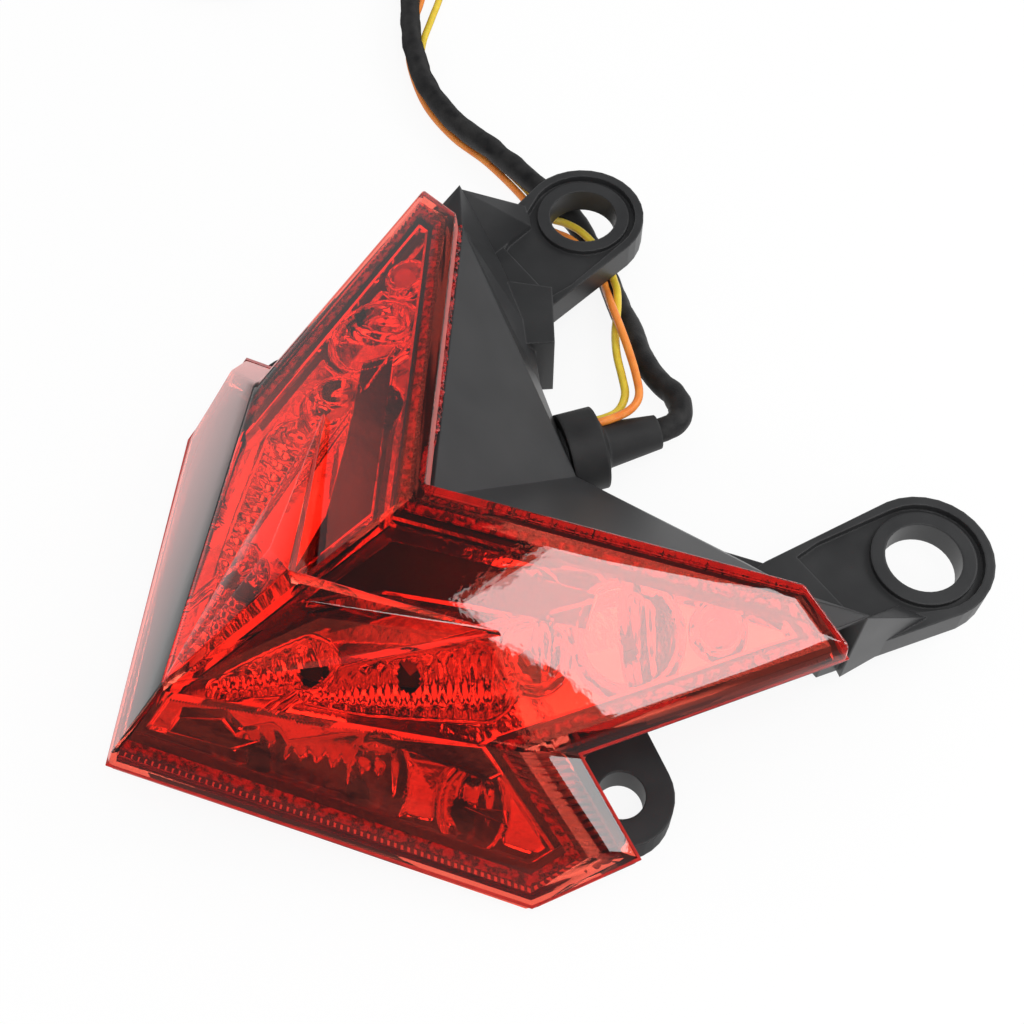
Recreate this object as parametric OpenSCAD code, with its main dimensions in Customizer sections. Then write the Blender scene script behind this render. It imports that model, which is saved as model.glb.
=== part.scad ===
/* [Lens] */
// Width across the two wing ends
wing_span = 139; // [124:1:168]
// Width of each cut-off wing end
wing_end_w = 13.5; // [10:0.5:18]
// How far the wing ends reach ahead of the centre, along Y
wing_end_y = 34.5; // [28:0.5:42]
// Width between the two notches that part wings from fins
notch_span = 100.4; // [84:0.2:110]
// Place of the notches along Y
notch_y = -21.5; // [-26:0.5:-17]
// Width across the fin ends
fin_span = 138.2; // [124:0.2:166]
// Place of the fin ends along Y
fin_end_y = -19.4; // [-24:0.2:-15]
// Width across the lower corners of the fins
fin_low_span = 130.8; // [118:0.2:150]
// Place of the lower corners of the fins along Y
fin_low_y = -34.4; // [-40:0.2:-30]
// Place of the bottom tip of the lens along Y
keel_y = -86; // [-92:0.5:-80]
// Place of the top of the keel, where face and lower band part, along Y
keel_top_y = -70.5; // [-74:0.5:-66]
// Place of the valley between the wings along Y
valley_y = -11.5; // [-16:0.5:-6]
// Height of the lens at the valley
valley_z = 49; // [44:0.5:58]
// Rise of the face for each millimetre along Y
face_rise = 0.239; // [0.2:0.005:0.28]
// Fall of the face for each millimetre outward
face_fall = 0.30; // [0.24:0.005:0.33]
// Height of the bottom tip of the lens
keel_z = 20; // [17.5:0.5:24]
// Thickness of the lens wall
lens_wall = 2.2; // [1.6:0.1:3]
// Height of the raised arrow over the face
arrow_h = 5.6; // [3:0.2:7]

/* [Housing] */
// Thickness of the housing wall
case_wall = 2.4; // [1.8:0.1:3.2]
// Clearance between the lens skirt and the housing rim
rim_gap = 0.4; // [0.3:0.05:0.8]
// Height of the rear edge of the deck
deck_z = 16; // [14.5:0.5:19]
// Place of the rear edge of the deck on the centre line
deck_y = 25.5; // [22:0.5:29]

/* [Mounting ears] */
// Distance between the two ear holes
ear_pitch = 116; // [100:1:130]
// Place of the ear holes along Y
ear_y = 72; // [66:0.5:78]
// Diameter of the ear holes
ear_hole_d = 16; // [12:0.5:18]
// Outer diameter of the ears
ear_d = 29; // [26:0.5:34]
// Thickness of the ears
ear_t = 7; // [5:0.5:8]
// Distance between the two lower lug holes
lug_pitch = 119; // [112:0.2:132]
// Place of the lug holes along Y
lug_y = -8.5; // [-14:0.1:-5]
// Diameter of the lug holes
lug_hole_d = 9.6; // [7:0.2:12]
// Outer diameter of the lugs
lug_d = 21; // [18:0.5:23]
// Thickness of the lugs
lug_t = 8; // [6:0.5:8.5]

/* [Lamp insides] */
// Thickness of the circuit boards
board_t = 1.6; // [1:0.1:2]
// Thickness of the reflector skins
reflector_t = 1.5; // [1:0.1:2]
// Diameter of the large reflector cups at the mouth
cup_d = 17; // [14:0.5:18]
// Depth of the large reflector cups
cup_depth = 8; // [6:0.5:9]
// Diameter of the small cups along the lower band
low_cup_d = 12; // [9:0.5:13]
// Depth of the small cups along the lower band
low_cup_depth = 5; // [3.5:0.5:6]
// Side of one LED package
led_side = 3.5; // [2.8:0.1:4]
// Diameter of the small screws
screw_d = 2.6; // [2:0.1:3]

/* [Cable] */
// Outer diameter of the cable boot cup
boot_d = 18.6; // [16:0.2:19]
// Outer diameter of the black sleeve
sleeve_d = 6; // [5:0.5:7]
// Outer diameter of one loose wire
wire_d = 1.9; // [1.5:0.1:2.4]

/* [Hidden] */
$fn = 48;
fine = 32;
cut = 1;

// Heights of the two flat faces of the lens. Both halves mirror each other in X.
function face_z(x, y) = valley_z + face_rise * (y - valley_y) - face_fall * abs(x);
keel_top_z = face_z(0, keel_top_y);
band_rise = (keel_top_z - keel_z) / (keel_top_y - keel_y);
notch_x = notch_span / 2;
band_fall = (keel_top_z + band_rise * (notch_y - keel_top_y) - face_z(notch_x, notch_y)) / notch_x;
function band_z(x, y) = keel_top_z + band_rise * (y - keel_top_y) - band_fall * abs(x);
function skin_z(x, y) = min(face_z(x, y), band_z(x, y));
function on_skin(p, drop) = [p.x, p.y, skin_z(p.x, p.y) - drop];

// Plan of the lens, clockwise from the valley: wing end, notch, fin end, bottom tip.
wing_x = wing_span / 2;
fin_x = fin_span / 2;
fin_low_x = fin_low_span / 2;
right_plan = [[0, valley_y], [wing_x - wing_end_w, wing_end_y], [wing_x, wing_end_y], [notch_x, notch_y],
    [fin_x, fin_end_y], [fin_low_x, fin_low_y], [0, keel_y]];
function flip(p) = [-p.x, p.y];
lens_plan = concat(right_plan, [for (i = [5:-1:1]) flip(right_plan[i])]);

// A closed outline moved inward by d. It runs clockwise, so its inside is on the right.
function side(a, b) = [b.y - a.y, a.x - b.x] / norm(b - a);
function moved(p, n, m, d) = p + d * (n + m) / (1 + n * m);
function inset(loop, d) = let (n = len(loop)) [for (i = [0:n - 1])
    moved(loop[i], side(loop[(i + n - 1) % n], loop[i]), side(loop[i], loop[(i + 1) % n]), d)];

// A solid with two matching skins: points of the upper skin, points of the lower one, the faces of the
// upper skin and the loop of its edge.
module two_skins(upper, lower, faces, loop) {
    n = len(upper);
    m = len(loop);
    below = [for (f = faces) [for (i = [len(f) - 1:-1:0]) f[i] + n]];
    walls = [for (i = [0:m - 1]) let (a = loop[i], b = loop[(i + 1) % m]) [b, a, a + n, b + n]];
    polyhedron(concat(upper, lower), concat(faces, below, walls));
}

// Faces of the lens: wing face and lower band on each side. Point 12 is the top of the keel.
lens_faces = [[0, 1, 2, 3, 12], [12, 3, 4, 5, 6], [12, 9, 10, 11, 0], [6, 7, 8, 9, 12]];
lens_loop = [for (i = [0:11]) i];
keel_top = [0, keel_top_y];
function lens_skin(plan, drop) = [for (p = concat(plan, [keel_top])) on_skin(p, drop)];

// The lower edge of the lens skirt: places that flare out a little, and how far each hangs.
skirt_drop = [6, 6, 6, 4, 4, 1.2, 2];
right_skirt = [[0, valley_y + 0.5], [wing_x - wing_end_w, wing_end_y + 0.5], [wing_x + 0.4, wing_end_y + 0.5],
    [notch_x + 3.9, notch_y + 6.6], [fin_x + 3.3, fin_end_y + 5.4], [fin_low_x + 0.6, fin_low_y - 0.4],
    [0, keel_y - 0.5]];
right_skirt_z = [for (i = [0:6]) skin_z(right_plan[i].x, right_plan[i].y) - skirt_drop[i]];
skirt_plan = concat(right_skirt, [for (i = [5:-1:1]) flip(right_skirt[i])]);
skirt_z = concat(right_skirt_z, [for (i = [5:-1:1]) right_skirt_z[i]]);
function skirt_skin(plan, z, drop) = concat([for (i = [0:11]) [plan[i].x, plan[i].y, z[i] - drop]],
    [on_skin(keel_top, 6 + drop)]);

// Depth of everything under the lens, measured straight down from its outer skin.
rim_depth = lens_wall + 1.2;
housing_inset = lens_wall + rim_gap + 0.4;
hollow_inset = housing_inset + 1.8;
bezel_drop = 3.6;
bezel_t = 1.2;
mirror_drop = bezel_drop + bezel_t + 0.3;
board_drop = mirror_drop + cup_depth + 0.3;
low_mirror_drop = 3.6;
low_board_drop = low_mirror_drop + low_cup_depth + 0.3;

// Upright directions of the two faces on side s, and points set back from them along that direction.
function face_way(s) = [s * face_fall, -face_rise, 1];
function band_way(s) = [s * band_fall, -band_rise, 1];
function under(p, z, way, s, drop) = [s * p.x, p.y, z] - way * drop / norm(way);
function face_point(p, s, drop) = under(p, face_z(p.x, p.y), face_way(s), s, drop);
function band_point(p, s, drop) = under(p, band_z(p.x, p.y), band_way(s), s, drop);
face_lean = norm(face_way(1));
band_lean = norm(band_way(1));

// A plan distance laid out on a face that leans: longer along the slope, unchanged across it.
function laid(d, way) = let (t = [way.x, way.y] / norm([way.x, way.y])) d + t * (d * t) * (norm(way) - 1);

// Turns local Z to a given direction.
module lean(way) {
    turn = atan2(way.y, way.x);
    rotate([0, 0, turn]) rotate([0, acos(way.z / norm(way)), 0]) rotate([0, 0, -turn]) children();
}

// Stands a piece on a face of side s (1 right, -1 left), set back by a distance.
module on_face(p, s, drop) {
    translate(face_point(p, s, drop)) lean(face_way(s)) children();
}
module on_band(p, s, drop) {
    translate(band_point(p, s, drop)) lean(band_way(s)) children();
}

// Places of the lamp cups on one side, as seen from the front. Beside the valley they follow its wall.
function valley_x(y) = (y - valley_y) * (wing_x - wing_end_w) / (wing_end_y - valley_y);
top_cup_x = valley_x(5) + hollow_inset * 1.57 + cup_d / 2 + 5.877;
wing_cups = [[cup_d / 2 + 2, -46], [23, -32], [35, -13], [top_cup_x, 5]];
low_cups = [[16, -62], [31, -50], [46, -36.5]];
amber_place = [valley_x(17) + 18.6043, 17];
amber_d = 5;
wing_middle = [27, -21];
low_middle = [31, -49];
wing_screws = [[28, -21], [valley_x(-4) + 30.8696, -4]];
low_screws = [[23.5, -56], [38.5, -43]];
led_h = 1.4;
led_hole = led_side * 1.42 + 0.6;

module arrow(s) {
    tip = [s * 30.3, valley_y - 4];
    shoulder = [s * 7, valley_y - 30];
    crown = [0, valley_y - 30];
    root = [0, keel_top_y];
    top = [[root.x, root.y, skin_z(root.x, root.y) + 0.1], [crown.x, crown.y, face_z(0, crown.y) + arrow_h],
        [shoulder.x, shoulder.y, face_z(7, shoulder.y) + arrow_h],
        [tip.x, tip.y, face_z(tip.x, tip.y) + arrow_h / 3]];
    base = [for (p = top) [p.x, p.y, skin_z(p.x, p.y) - lens_wall / 2]];
    hull() {
        polyhedron(concat(top, base), [[0, 1, 2], [0, 2, 3], [4, 6, 5], [4, 7, 6], [1, 0, 4, 5], [2, 1, 5, 6],
            [3, 2, 6, 7], [0, 3, 7, 4]]);
    }
}

module lens() {
    color([0.8, 0.06, 0.05, 0.6]) {
        difference() {
            union() {
                two_skins(lens_skin(lens_plan, 0), skirt_skin(skirt_plan, skirt_z, 0), lens_faces, lens_loop);
                arrow(1);
                arrow(-1);
            }
            two_skins(lens_skin(inset(lens_plan, lens_wall), lens_wall * 1.15),
                skirt_skin(inset(skirt_plan, lens_wall), skirt_z, cut), lens_faces, lens_loop);
        }
    }
}

// Housing: a tub under the lens and a sloping deck behind it, down to a flat back.
deck_right = [[0, deck_y], [24, deck_y + 8.3], [36, deck_y + 15.1], [wing_x - 12, wing_end_y + 12],
    [wing_x - 3, wing_end_y + 8]];
back_right = [[0, deck_y], [24, deck_y + 8.3], [36, deck_y + 15.1], [wing_x - 15, wing_end_y + 10],
    [wing_x - 17, wing_end_y - 2]];
rim_right = [for (i = [3:6]) inset(lens_plan, housing_inset)[i]];
tub_right = [[notch_x - 12, notch_y + 8], [fin_x - 11, fin_end_y + 1], [fin_low_x - 9, fin_low_y + 4],
    [0, keel_y + 19]];
lip_z = face_z(wing_x, wing_end_y) - 2;
deck_zs = [deck_z, deck_z, deck_z, deck_z + 2, lip_z];
deck_top = [for (i = [0:4]) [deck_right[i].x, deck_right[i].y, deck_zs[i]]];
function mirrored(list, from, to) = [for (i = [from:-1:to]) [-list[i].x, list[i].y, list[i].z]];

module case_block(top_right, low_right, seam, seam_low) {
    // top_right: 5 deck points and 4 rim points; seam: valley, wing and keel points inside the edge.
    upper = concat(top_right, mirrored(top_right, 7, 1), seam);
    lower = concat(low_right, mirrored(low_right, 7, 1), seam_low);
    // Points 16 valley, 17 right wing, 18 left wing, 19 keel top.
    faces = [[16, 0, 17], [0, 1, 2, 17], [2, 3, 17], [3, 4, 17], [16, 17, 4, 5, 19], [19, 5, 6, 7, 8],
        [18, 0, 16], [18, 14, 15, 0], [18, 13, 14], [18, 12, 13], [19, 11, 12, 18, 16], [8, 9, 10, 11, 19]];
    two_skins(upper, lower, faces, [for (i = [0:15]) i]);
}

function case_top() = concat(deck_top, [for (p = rim_right) on_skin(p, rim_depth)]);
function case_seam(d) = [[0, valley_y + 1.5, face_z(0, valley_y) - d],
    [wing_x - wing_end_w, wing_end_y + 1.5, face_z(wing_x - wing_end_w, wing_end_y) - d],
    [wing_end_w - wing_x, wing_end_y + 1.5, face_z(wing_x - wing_end_w, wing_end_y) - d],
    on_skin(keel_top, rim_depth)];
function flat(list, z) = [for (p = list) [p.x, p.y, z]];
back_seam = [[0, valley_y + 1.5], [42, wing_end_y - 4], [-42, wing_end_y - 4], [0, keel_top_y + 22]];

module case_solid() {
    case_block(case_top(), flat(concat(back_right, tub_right), 0), case_seam(6.6), flat(back_seam, 0));
}

// Room for the lens skirt, cut all round the case.
module lens_groove() {
    difference() {
        two_skins(lens_skin(inset(lens_plan, -rim_gap), -20),
            skirt_skin(inset(skirt_plan, -rim_gap), skirt_z, rim_gap), lens_faces, lens_loop);
        two_skins(lens_skin(inset(lens_plan, lens_wall + rim_gap), -21),
            skirt_skin(inset(skirt_plan, lens_wall + rim_gap), skirt_z, rim_gap + cut), lens_faces,
            lens_loop);
    }
}

// The hollow of the tub, open under the lens.
module tub_hollow() {
    rim = inset(lens_plan, hollow_inset);
    foot = inset([[0, valley_y + 6], [44, wing_end_y - 8], [50, wing_end_y - 8], tub_right[0], tub_right[1],
        tub_right[2], tub_right[3], flip(tub_right[2]), flip(tub_right[1]), flip(tub_right[0]),
        [-50, wing_end_y - 8], [-44, wing_end_y - 8]], case_wall);
    upper = concat([for (p = rim) on_skin(p, 0)], [on_skin(keel_top, 0)]);
    lower = concat(flat(foot, case_wall), [[0, keel_top_y + 22, case_wall]]);
    two_skins(upper, lower, lens_faces, lens_loop);
}

// The hollow under the deck, and the window that joins it to the tub for the wires.
module deck_hollow() {
    right = [[24, deck_y + 5.3, deck_z - 3], [34, deck_y + 11, deck_z - 2],
        [44, wing_end_y - 3.5, deck_z + 12]];
    upper = concat([[0, valley_y + 6.5, valley_z - 14]], [for (i = [2:-1:0]) mirrored(right, i, i)[0]],
        [[0, deck_y - 3, deck_z - 2.5]], right);
    lower = flat(upper, case_wall);
    two_skins(upper, lower, [[0, 1, 2, 3], [0, 3, 4], [0, 4, 5], [0, 5, 6, 7]], [for (i = [0:7]) i]);
    translate([-8, valley_y - 4, 6]) cube([16, 14, 8]);
}

// A mounting ear: a flat plate with a raised rim along its edge and a step round its hole.
ear_rim = 2;
ear_floor = 1.8;
arm_x = wing_x - 18;
module ear(s) {
    difference() {
        hull() {
            translate([s * ear_pitch / 2, ear_y, deck_z - ear_t]) cylinder(h = ear_t, d = ear_d, $fn = fine);
            translate([s * arm_x - 12, wing_end_y + 4, deck_z - ear_t]) cube([24, 6, ear_t]);
        }
        hull() {
            translate([s * ear_pitch / 2, ear_y, deck_z - ear_floor]) {
                cylinder(h = ear_floor + cut, d = ear_d - 2 * ear_rim, $fn = fine);
            }
            translate([s * arm_x - 9, wing_end_y + 16, deck_z - ear_floor]) cube([18, 6, ear_floor + cut]);
        }
    }
    translate([s * ear_pitch / 2, ear_y, deck_z - ear_t]) cylinder(h = ear_t - 0.5, d = ear_hole_d + 6);
}

module lug(s) {
    hull() {
        translate([s * lug_pitch / 2, lug_y, 0]) cylinder(h = lug_t, d = lug_d, $fn = fine);
        translate([s * (notch_x - 8) - 7, notch_y + 14, 0]) cube([14, 12, lug_t]);
    }
}

// A block beside each arm, where the moulding is thick. The one beside the cable is taller.
module arm_block(s) {
    block = [[34, 35], [29.6, 42], [42.6, 51], [50, 44], [46, 34]];
    block_h = s < 0 ? deck_z + 2 : deck_z - 8;
    translate([0, 0, 1]) linear_extrude(block_h) polygon([for (p = block) [s * p.x, p.y + deck_y - 25.5]]);
}

// A web that slopes from the back of each wing end down to its ear.
module arm_web(s) {
    upper = [[wing_x - 3.2, wing_end_y + 7.7, lip_z - 0.8], [wing_x - 9.5, wing_end_y + 9.5, deck_z + 1],
        [wing_x - 6.5, wing_end_y + 25.5, deck_z - 0.6], [wing_x - 1, wing_end_y + 28.5, deck_z - 0.6]];
    lower = flat(upper, deck_z - ear_t + 0.5);
    mirror([s < 0 ? 1 : 0, 0, 0]) two_skins(upper, lower, [[0, 1, 2], [0, 2, 3]], [0, 1, 2, 3]);
}

// Where the cable leaves: the rear wall on the left of the centre line.
boot_turn = atan2(8.3, 24);
boot_at = [-9, deck_y + 3.1, 9.7];
spigot_d = 13;
spigot_l = 5;
module at_boot() {
    translate(boot_at) rotate([0, 0, -boot_turn]) rotate([-90, 0, 0]) children();
}

// Posts that carry the circuit boards, cut off by the outside of the case.
post_d = 6;
post_l = valley_z - 9;
module at_board_screws() {
    for (s = [1, -1]) {
        for (p = wing_screws) on_face(p, s, board_drop + board_t) children();
        for (p = low_screws) on_band(p, s, low_board_drop + board_t) children();
    }
}
module posts() {
    intersection() {
        case_solid();
        at_board_screws() translate([0, 0, -post_l]) cylinder(h = post_l, d = post_d);
    }
}

module housing() {
    color([0.05, 0.05, 0.055]) {
        difference() {
            union() {
                difference() {
                    case_solid();
                    tub_hollow();
                    deck_hollow();
                }
                posts();
                for (s = [1, -1]) {
                    ear(s);
                    lug(s);
                    arm_block(s);
                    arm_web(s);
                }
                at_boot() translate([0, 0, -2]) cylinder(h = spigot_l + 2, d = spigot_d);
            }
            lens_groove();
            for (s = [1, -1]) {
                translate([s * ear_pitch / 2, ear_y, deck_z - ear_t - cut]) {
                    cylinder(h = ear_t + 2 * cut, d = ear_hole_d);
                }
                translate([s * lug_pitch / 2, lug_y, -cut]) cylinder(h = lug_t + 2 * cut, d = lug_hole_d);
            }
            at_boot() translate([0, 0, -9]) cylinder(h = spigot_l + 9 + cut, d = spigot_d - 4);
            at_board_screws() translate([0, 0, -7]) cylinder(h = 7 + cut, d = screw_d + 0.3);
        }
    }
}

// A ring that follows the lens outline between two insets.
module outline_ring(outer, inner, drop, thick) {
    difference() {
        two_skins(lens_skin(inset(lens_plan, outer), drop), lens_skin(inset(lens_plan, outer), drop + thick),
            lens_faces, lens_loop);
        two_skins(lens_skin(inset(lens_plan, inner), drop - cut),
            lens_skin(inset(lens_plan, inner), drop + thick + cut), lens_faces, lens_loop);
    }
}

module lens_bead() {
    color([0.35, 0.02, 0.02]) outline_ring(housing_inset + 0.1, hollow_inset - 0.2, rim_depth - 0.7, 0.65);
}

// The lamp's inner field on one side: the wing face, pulled back from the narrow wing end.
function edge_x(y, d) = valley_x(y) + d * 1.57;
function outer_x(y, d) = notch_x + (y - notch_y) * (wing_x - notch_x) / (wing_end_y - notch_y)
    - (d + 3) * 1.06;
function wing_field(d, y, x) = let (ring = inset(lens_plan, d)) [[x, ring[0].y], [edge_x(y, d), y],
    [outer_x(y, d), y], ring[3] + [-3.4, 0.6], [x, keel_top_y + d + 1]];
function band_field() = let (corner = inset(lens_plan, field_inset)[3] - [3, 3],
    fin = [fin_x - 13, fin_low_y + 5])
    [[0, keel_top_y - 0.8], corner, fin, [0, keel_y + 12.5], flip(fin), flip(corner)];

module field_plate(s, d, y, x, drop, thick) {
    upper = [for (p = wing_field(d, y, x)) [p.x, p.y, face_z(p.x, p.y) - drop * face_lean]];
    lower = [for (p = upper) p - [0, 0, thick]];
    mirror([s < 0 ? 1 : 0, 0, 0]) two_skins(upper, lower, [[0, 1, 2, 3, 4]], [0, 1, 2, 3, 4]);
}

module band_plate(drop, thick) {
    upper = [for (p = band_field()) [p.x, p.y, band_z(p.x, p.y) - drop * band_lean]];
    lower = [for (p = upper) p - [0, 0, thick]];
    two_skins(upper, lower, [[0, 1, 2, 3], [0, 3, 4, 5]], [for (i = [0:5]) i]);
}

field_inset = hollow_inset + 0.4;
field_y = wing_end_y - 10;

module bezel() {
    color([0.12, 0.02, 0.02]) {
        difference() {
            union() {
                field_plate(1, field_inset, field_y, 0, bezel_drop, bezel_t);
                field_plate(-1, field_inset, field_y, 0, bezel_drop, bezel_t);
            }
            for (s = [1, -1]) {
                for (p = wing_cups) on_face(p, s, bezel_drop + 4) cylinder(h = 8, d = cup_d - 1);
                on_face(amber_place, s, bezel_drop + 4) cylinder(h = 8, d = amber_d + 1.4);
            }
        }
    }
}

// One mirrored cup: a flared bowl with a hole for its LED. It starts inside its plate.
module bowl(mouth, depth, hole) {
    sink = 0.4;
    wide = mouth - (mouth - hole - 2 * reflector_t) * sink / depth;
    translate([0, 0, -depth]) cylinder(h = depth - sink, d1 = hole + 2 * reflector_t, d2 = wide);
}
module bowl_hollow(mouth, depth, hole) {
    grow = (mouth - 2 * reflector_t - hole) / depth;
    translate([0, 0, -depth - cut]) {
        cylinder(h = depth + 2 * cut, d1 = hole - grow * cut, d2 = hole + grow * (depth + cut));
    }
}

module wing_reflector(s) {
    color([0.9, 0.9, 0.92]) {
        difference() {
            union() {
                field_plate(s, field_inset, field_y, 0.3, mirror_drop, reflector_t);
                for (p = wing_cups) on_face(p, s, mirror_drop) bowl(cup_d, cup_depth, led_hole);
            }
            for (p = wing_cups) on_face(p, s, mirror_drop) bowl_hollow(cup_d, cup_depth, led_hole);
            on_face(amber_place, s, mirror_drop + 4) cylinder(h = 8, d = amber_d + 1);
        }
    }
}
module reflector_right() {
    wing_reflector(1);
}
module reflector_left() {
    wing_reflector(-1);
}

module reflector_keel() {
    color([0.9, 0.9, 0.92]) {
        difference() {
            union() {
                band_plate(low_mirror_drop, reflector_t);
                for (s = [1, -1]) {
                    for (p = low_cups) {
                        on_band(p, s, low_mirror_drop) bowl(low_cup_d, low_cup_depth, led_hole);
                    }
                }
            }
            for (s = [1, -1]) {
                for (p = low_cups) {
                    on_band(p, s, low_mirror_drop) bowl_hollow(low_cup_d, low_cup_depth, led_hole);
                }
            }
        }
    }
}

// Circuit boards: one strip under each wing and one under each half of the lower band.
module strip(cups, middle, way, s, width) {
    linear_extrude(board_t) {
        hull() {
            for (p = cups) {
                translate(laid([s * (p.x - middle.x), p.y - middle.y], way)) circle(d = width, $fn = fine);
            }
        }
    }
}
module wing_board(s) {
    color([0.05, 0.25, 0.12]) {
        difference() {
            on_face(wing_middle, s, board_drop + board_t) strip(wing_cups, wing_middle, face_way(s), s, 9);
            for (p = wing_screws) on_face(p, s, board_drop + 4) cylinder(h = 8, d = screw_d + 0.4);
        }
    }
}
module board_right() {
    wing_board(1);
}
module board_left() {
    wing_board(-1);
}
module board_keel() {
    color([0.05, 0.25, 0.12]) {
        for (s = [1, -1]) {
            difference() {
                on_band(low_middle, s, low_board_drop + board_t) {
                    strip(low_cups, low_middle, band_way(s), s, 7);
                }
                for (p = low_screws) on_band(p, s, low_board_drop + 4) cylinder(h = 8, d = screw_d + 0.4);
            }
        }
    }
}

// LED packages: a square base with a round lens on top.
module led() {
    translate([-led_side / 2, -led_side / 2, 0.05]) cube([led_side, led_side, led_h - 0.4]);
    cylinder(h = led_h, d = led_side - 0.8);
}
module wing_leds(s) {
    color([0.95, 0.9, 0.7]) for (p = wing_cups) on_face(p, s, board_drop) led();
}
module leds_right() {
    wing_leds(1);
}
module leds_left() {
    wing_leds(-1);
}
module leds_keel() {
    color([0.95, 0.9, 0.7]) for (s = [1, -1]) for (p = low_cups) on_band(p, s, low_board_drop) led();
}

// The turn signal bulbs near the wing ends, each on its own small round board.
amber_board_drop = mirror_drop + reflector_t * face_lean + 0.3;
amber_h = 1.5;
module amber_leds() {
    color([1, 0.5, 0.05]) {
        for (s = [1, -1]) {
            on_face(amber_place, s, amber_board_drop - 0.05) {
                cylinder(h = amber_h, d = amber_d);
                translate([0, 0, amber_h]) cylinder(h = 1.4, d1 = amber_d, d2 = amber_d - 1.2);
                translate([0, 0, amber_h + 1.4]) cylinder(h = 0.9, d1 = amber_d - 1.2, d2 = amber_d / 3);
            }
        }
    }
}
module amber_boards() {
    color([0.05, 0.25, 0.12]) {
        for (s = [1, -1]) {
            on_face(amber_place, s, amber_board_drop + board_t) cylinder(h = board_t, d = amber_d + 2.4);
        }
    }
}

module resistors() {
    color([0.03, 0.03, 0.03]) {
        for (s = [1, -1]) {
            for (i = [0:2]) {
                p = wing_cups[i] * 0.72 + wing_cups[i + 1] * 0.28;
                on_face(p, s, board_drop + board_t + 0.75) translate([-1.6, -0.8, 0]) cube([3.2, 1.6, 0.7]);
            }
        }
    }
}

// Small pan head screws that hold the boards to their posts.
module board_screws() {
    color([0.7, 0.7, 0.72]) {
        at_board_screws() {
            translate([0, 0, -6]) cylinder(h = board_t + 6.1, d = screw_d);
            translate([0, 0, board_t + 0.05]) cylinder(h = 1.6, d1 = screw_d * 1.9, d2 = screw_d * 1.5);
        }
    }
}

// A straight rod between two points.
module rod(a, b, d) {
    translate(a) lean(b - a) cylinder(h = norm(b - a), d = d);
}

// Wire links from each wing board to the boards beside it.
link_d = 1.2;
module board_links() {
    color([0.6, 0.05, 0.05]) {
        for (s = [1, -1]) {
            low_end = face_point(wing_cups[0], s, board_drop + board_t + link_d);
            low_far = band_point(low_cups[0], s, low_board_drop + board_t + link_d);
            rod(low_end, low_far, link_d);
            past_end = wing_cups[3] + 5.6 * (amber_place - wing_cups[3]) / norm(amber_place - wing_cups[3]);
            top_end = face_point(past_end, s, board_drop + board_t / 2);
            top_far = face_point(amber_place, s, amber_board_drop + board_t + link_d * 0.7);
            rod(top_end, top_far, link_d);
        }
    }
}

// Rubber boot over the spigot: a cup, a shoulder and a tapering neck that grips the sleeve.
boot_cup_l = 8;
neck_l = 12.5;
neck_end = boot_cup_l + 2 + neck_l;
wire_seats = [[5.6, 2.2], [3.1, 5.1]];
module boot() {
    color([0.06, 0.06, 0.06]) {
        difference() {
            at_boot() {
                translate([0, 0, 0.5]) cylinder(h = boot_cup_l, d = boot_d);
                translate([0, 0, boot_cup_l + 0.5]) cylinder(h = 1.5, d1 = boot_d - 1, d2 = sleeve_d + 4.5);
                translate([0, 0, boot_cup_l + 2]) {
                    cylinder(h = neck_l, d1 = sleeve_d + 4.5, d2 = sleeve_d + 1.8);
                }
            }
            at_boot() {
                translate([0, 0, -cut]) cylinder(h = spigot_l + 1.3, d = spigot_d + 0.6);
                translate([0, 0, -cut]) cylinder(h = neck_end + 2 * cut, d = sleeve_d + 0.4);
                for (q = wire_seats) {
                    translate([-q.x, -q.y, spigot_l]) cylinder(h = boot_cup_l, d = wire_d + 0.4);
                }
            }
        }
    }
}

// Routes of the cable. Each is a list of places that a smooth curve passes through.
boot_way = [sin(boot_turn), cos(boot_turn), 0];
boot_left = [-cos(boot_turn), sin(boot_turn), 0];
function by_boot(t, left, up) = boot_at + boot_way * t + boot_left * left + [0, 0, up];
plug_at = [-202, 67, 4.8];
sleeve_route = [by_boot(14, 0, 0), by_boot(neck_end, 0, 0), [-0.9, 54.2, 9.7], [-3.2, 58, 9.5],
    [-7.6, 59.6, 9.2], [-12.4, 59.5, 8.8], [-17.5, 60, 8.2], [-22.5, 61.6, 7.3], [-29, 64.6, 6],
    [-38, 68.2, 4.1], [-47, 71.5, 3.1], [-60.5, 75.3, 3.1], [-70, 76.4, 3.6], [-82, 74.8, 4.95],
    [-97, 73.2, 4.95], [-110, 71.2, 4.95], [-124, 72, 4.95], [-138, 76.6, 4.95], [-152, 84.3, 4.95],
    [-164, 92.5, 4.3], [-174, 97.3, 3.4], [-185, 97.2, 3.1], [-194.5, 92, 3.4], [-200.3, 83.6, 4.4],
    plug_at + [0, 8, 0], plug_at + [0, 1.2, 0]];
yellow_route = [by_boot(7, wire_seats[0].x, wire_seats[0].y), by_boot(12,
    wire_seats[0].x, wire_seats[0].y), [-10.2, 45.4, 11.9], [-12.6, 49.2, 12], [-17, 51.8, 12],
    [-22.4, 54.6, 12], [-28, 58.6, 11.1], [-34, 64, 10.2], [-38.8, 67.8, 9.2], [-42.6, 69.9, 8],
    [-46.8, 71.7, 7.7], [-53, 73.2, 7.4], [-60, 73.4, 7.1], [-65.6, 72.8, 5.6], [-70.4, 72.2, 3.2],
    [-76, 72.4, 1.2], [-82, 74.2, 0.98], [-97, 73.8, 0.96], [-110, 71.8, 0.96], [-124, 72.6, 0.96],
    [-136, 77, 0.96], [-144.4, 83.2, 0.96], [-151, 90.6, 0.96], [-158, 98.6, 0.96],
    [-166.4, 105.6, 1.1], [-175, 109.8, 1.8], [-185, 111, 2.3]];
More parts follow.
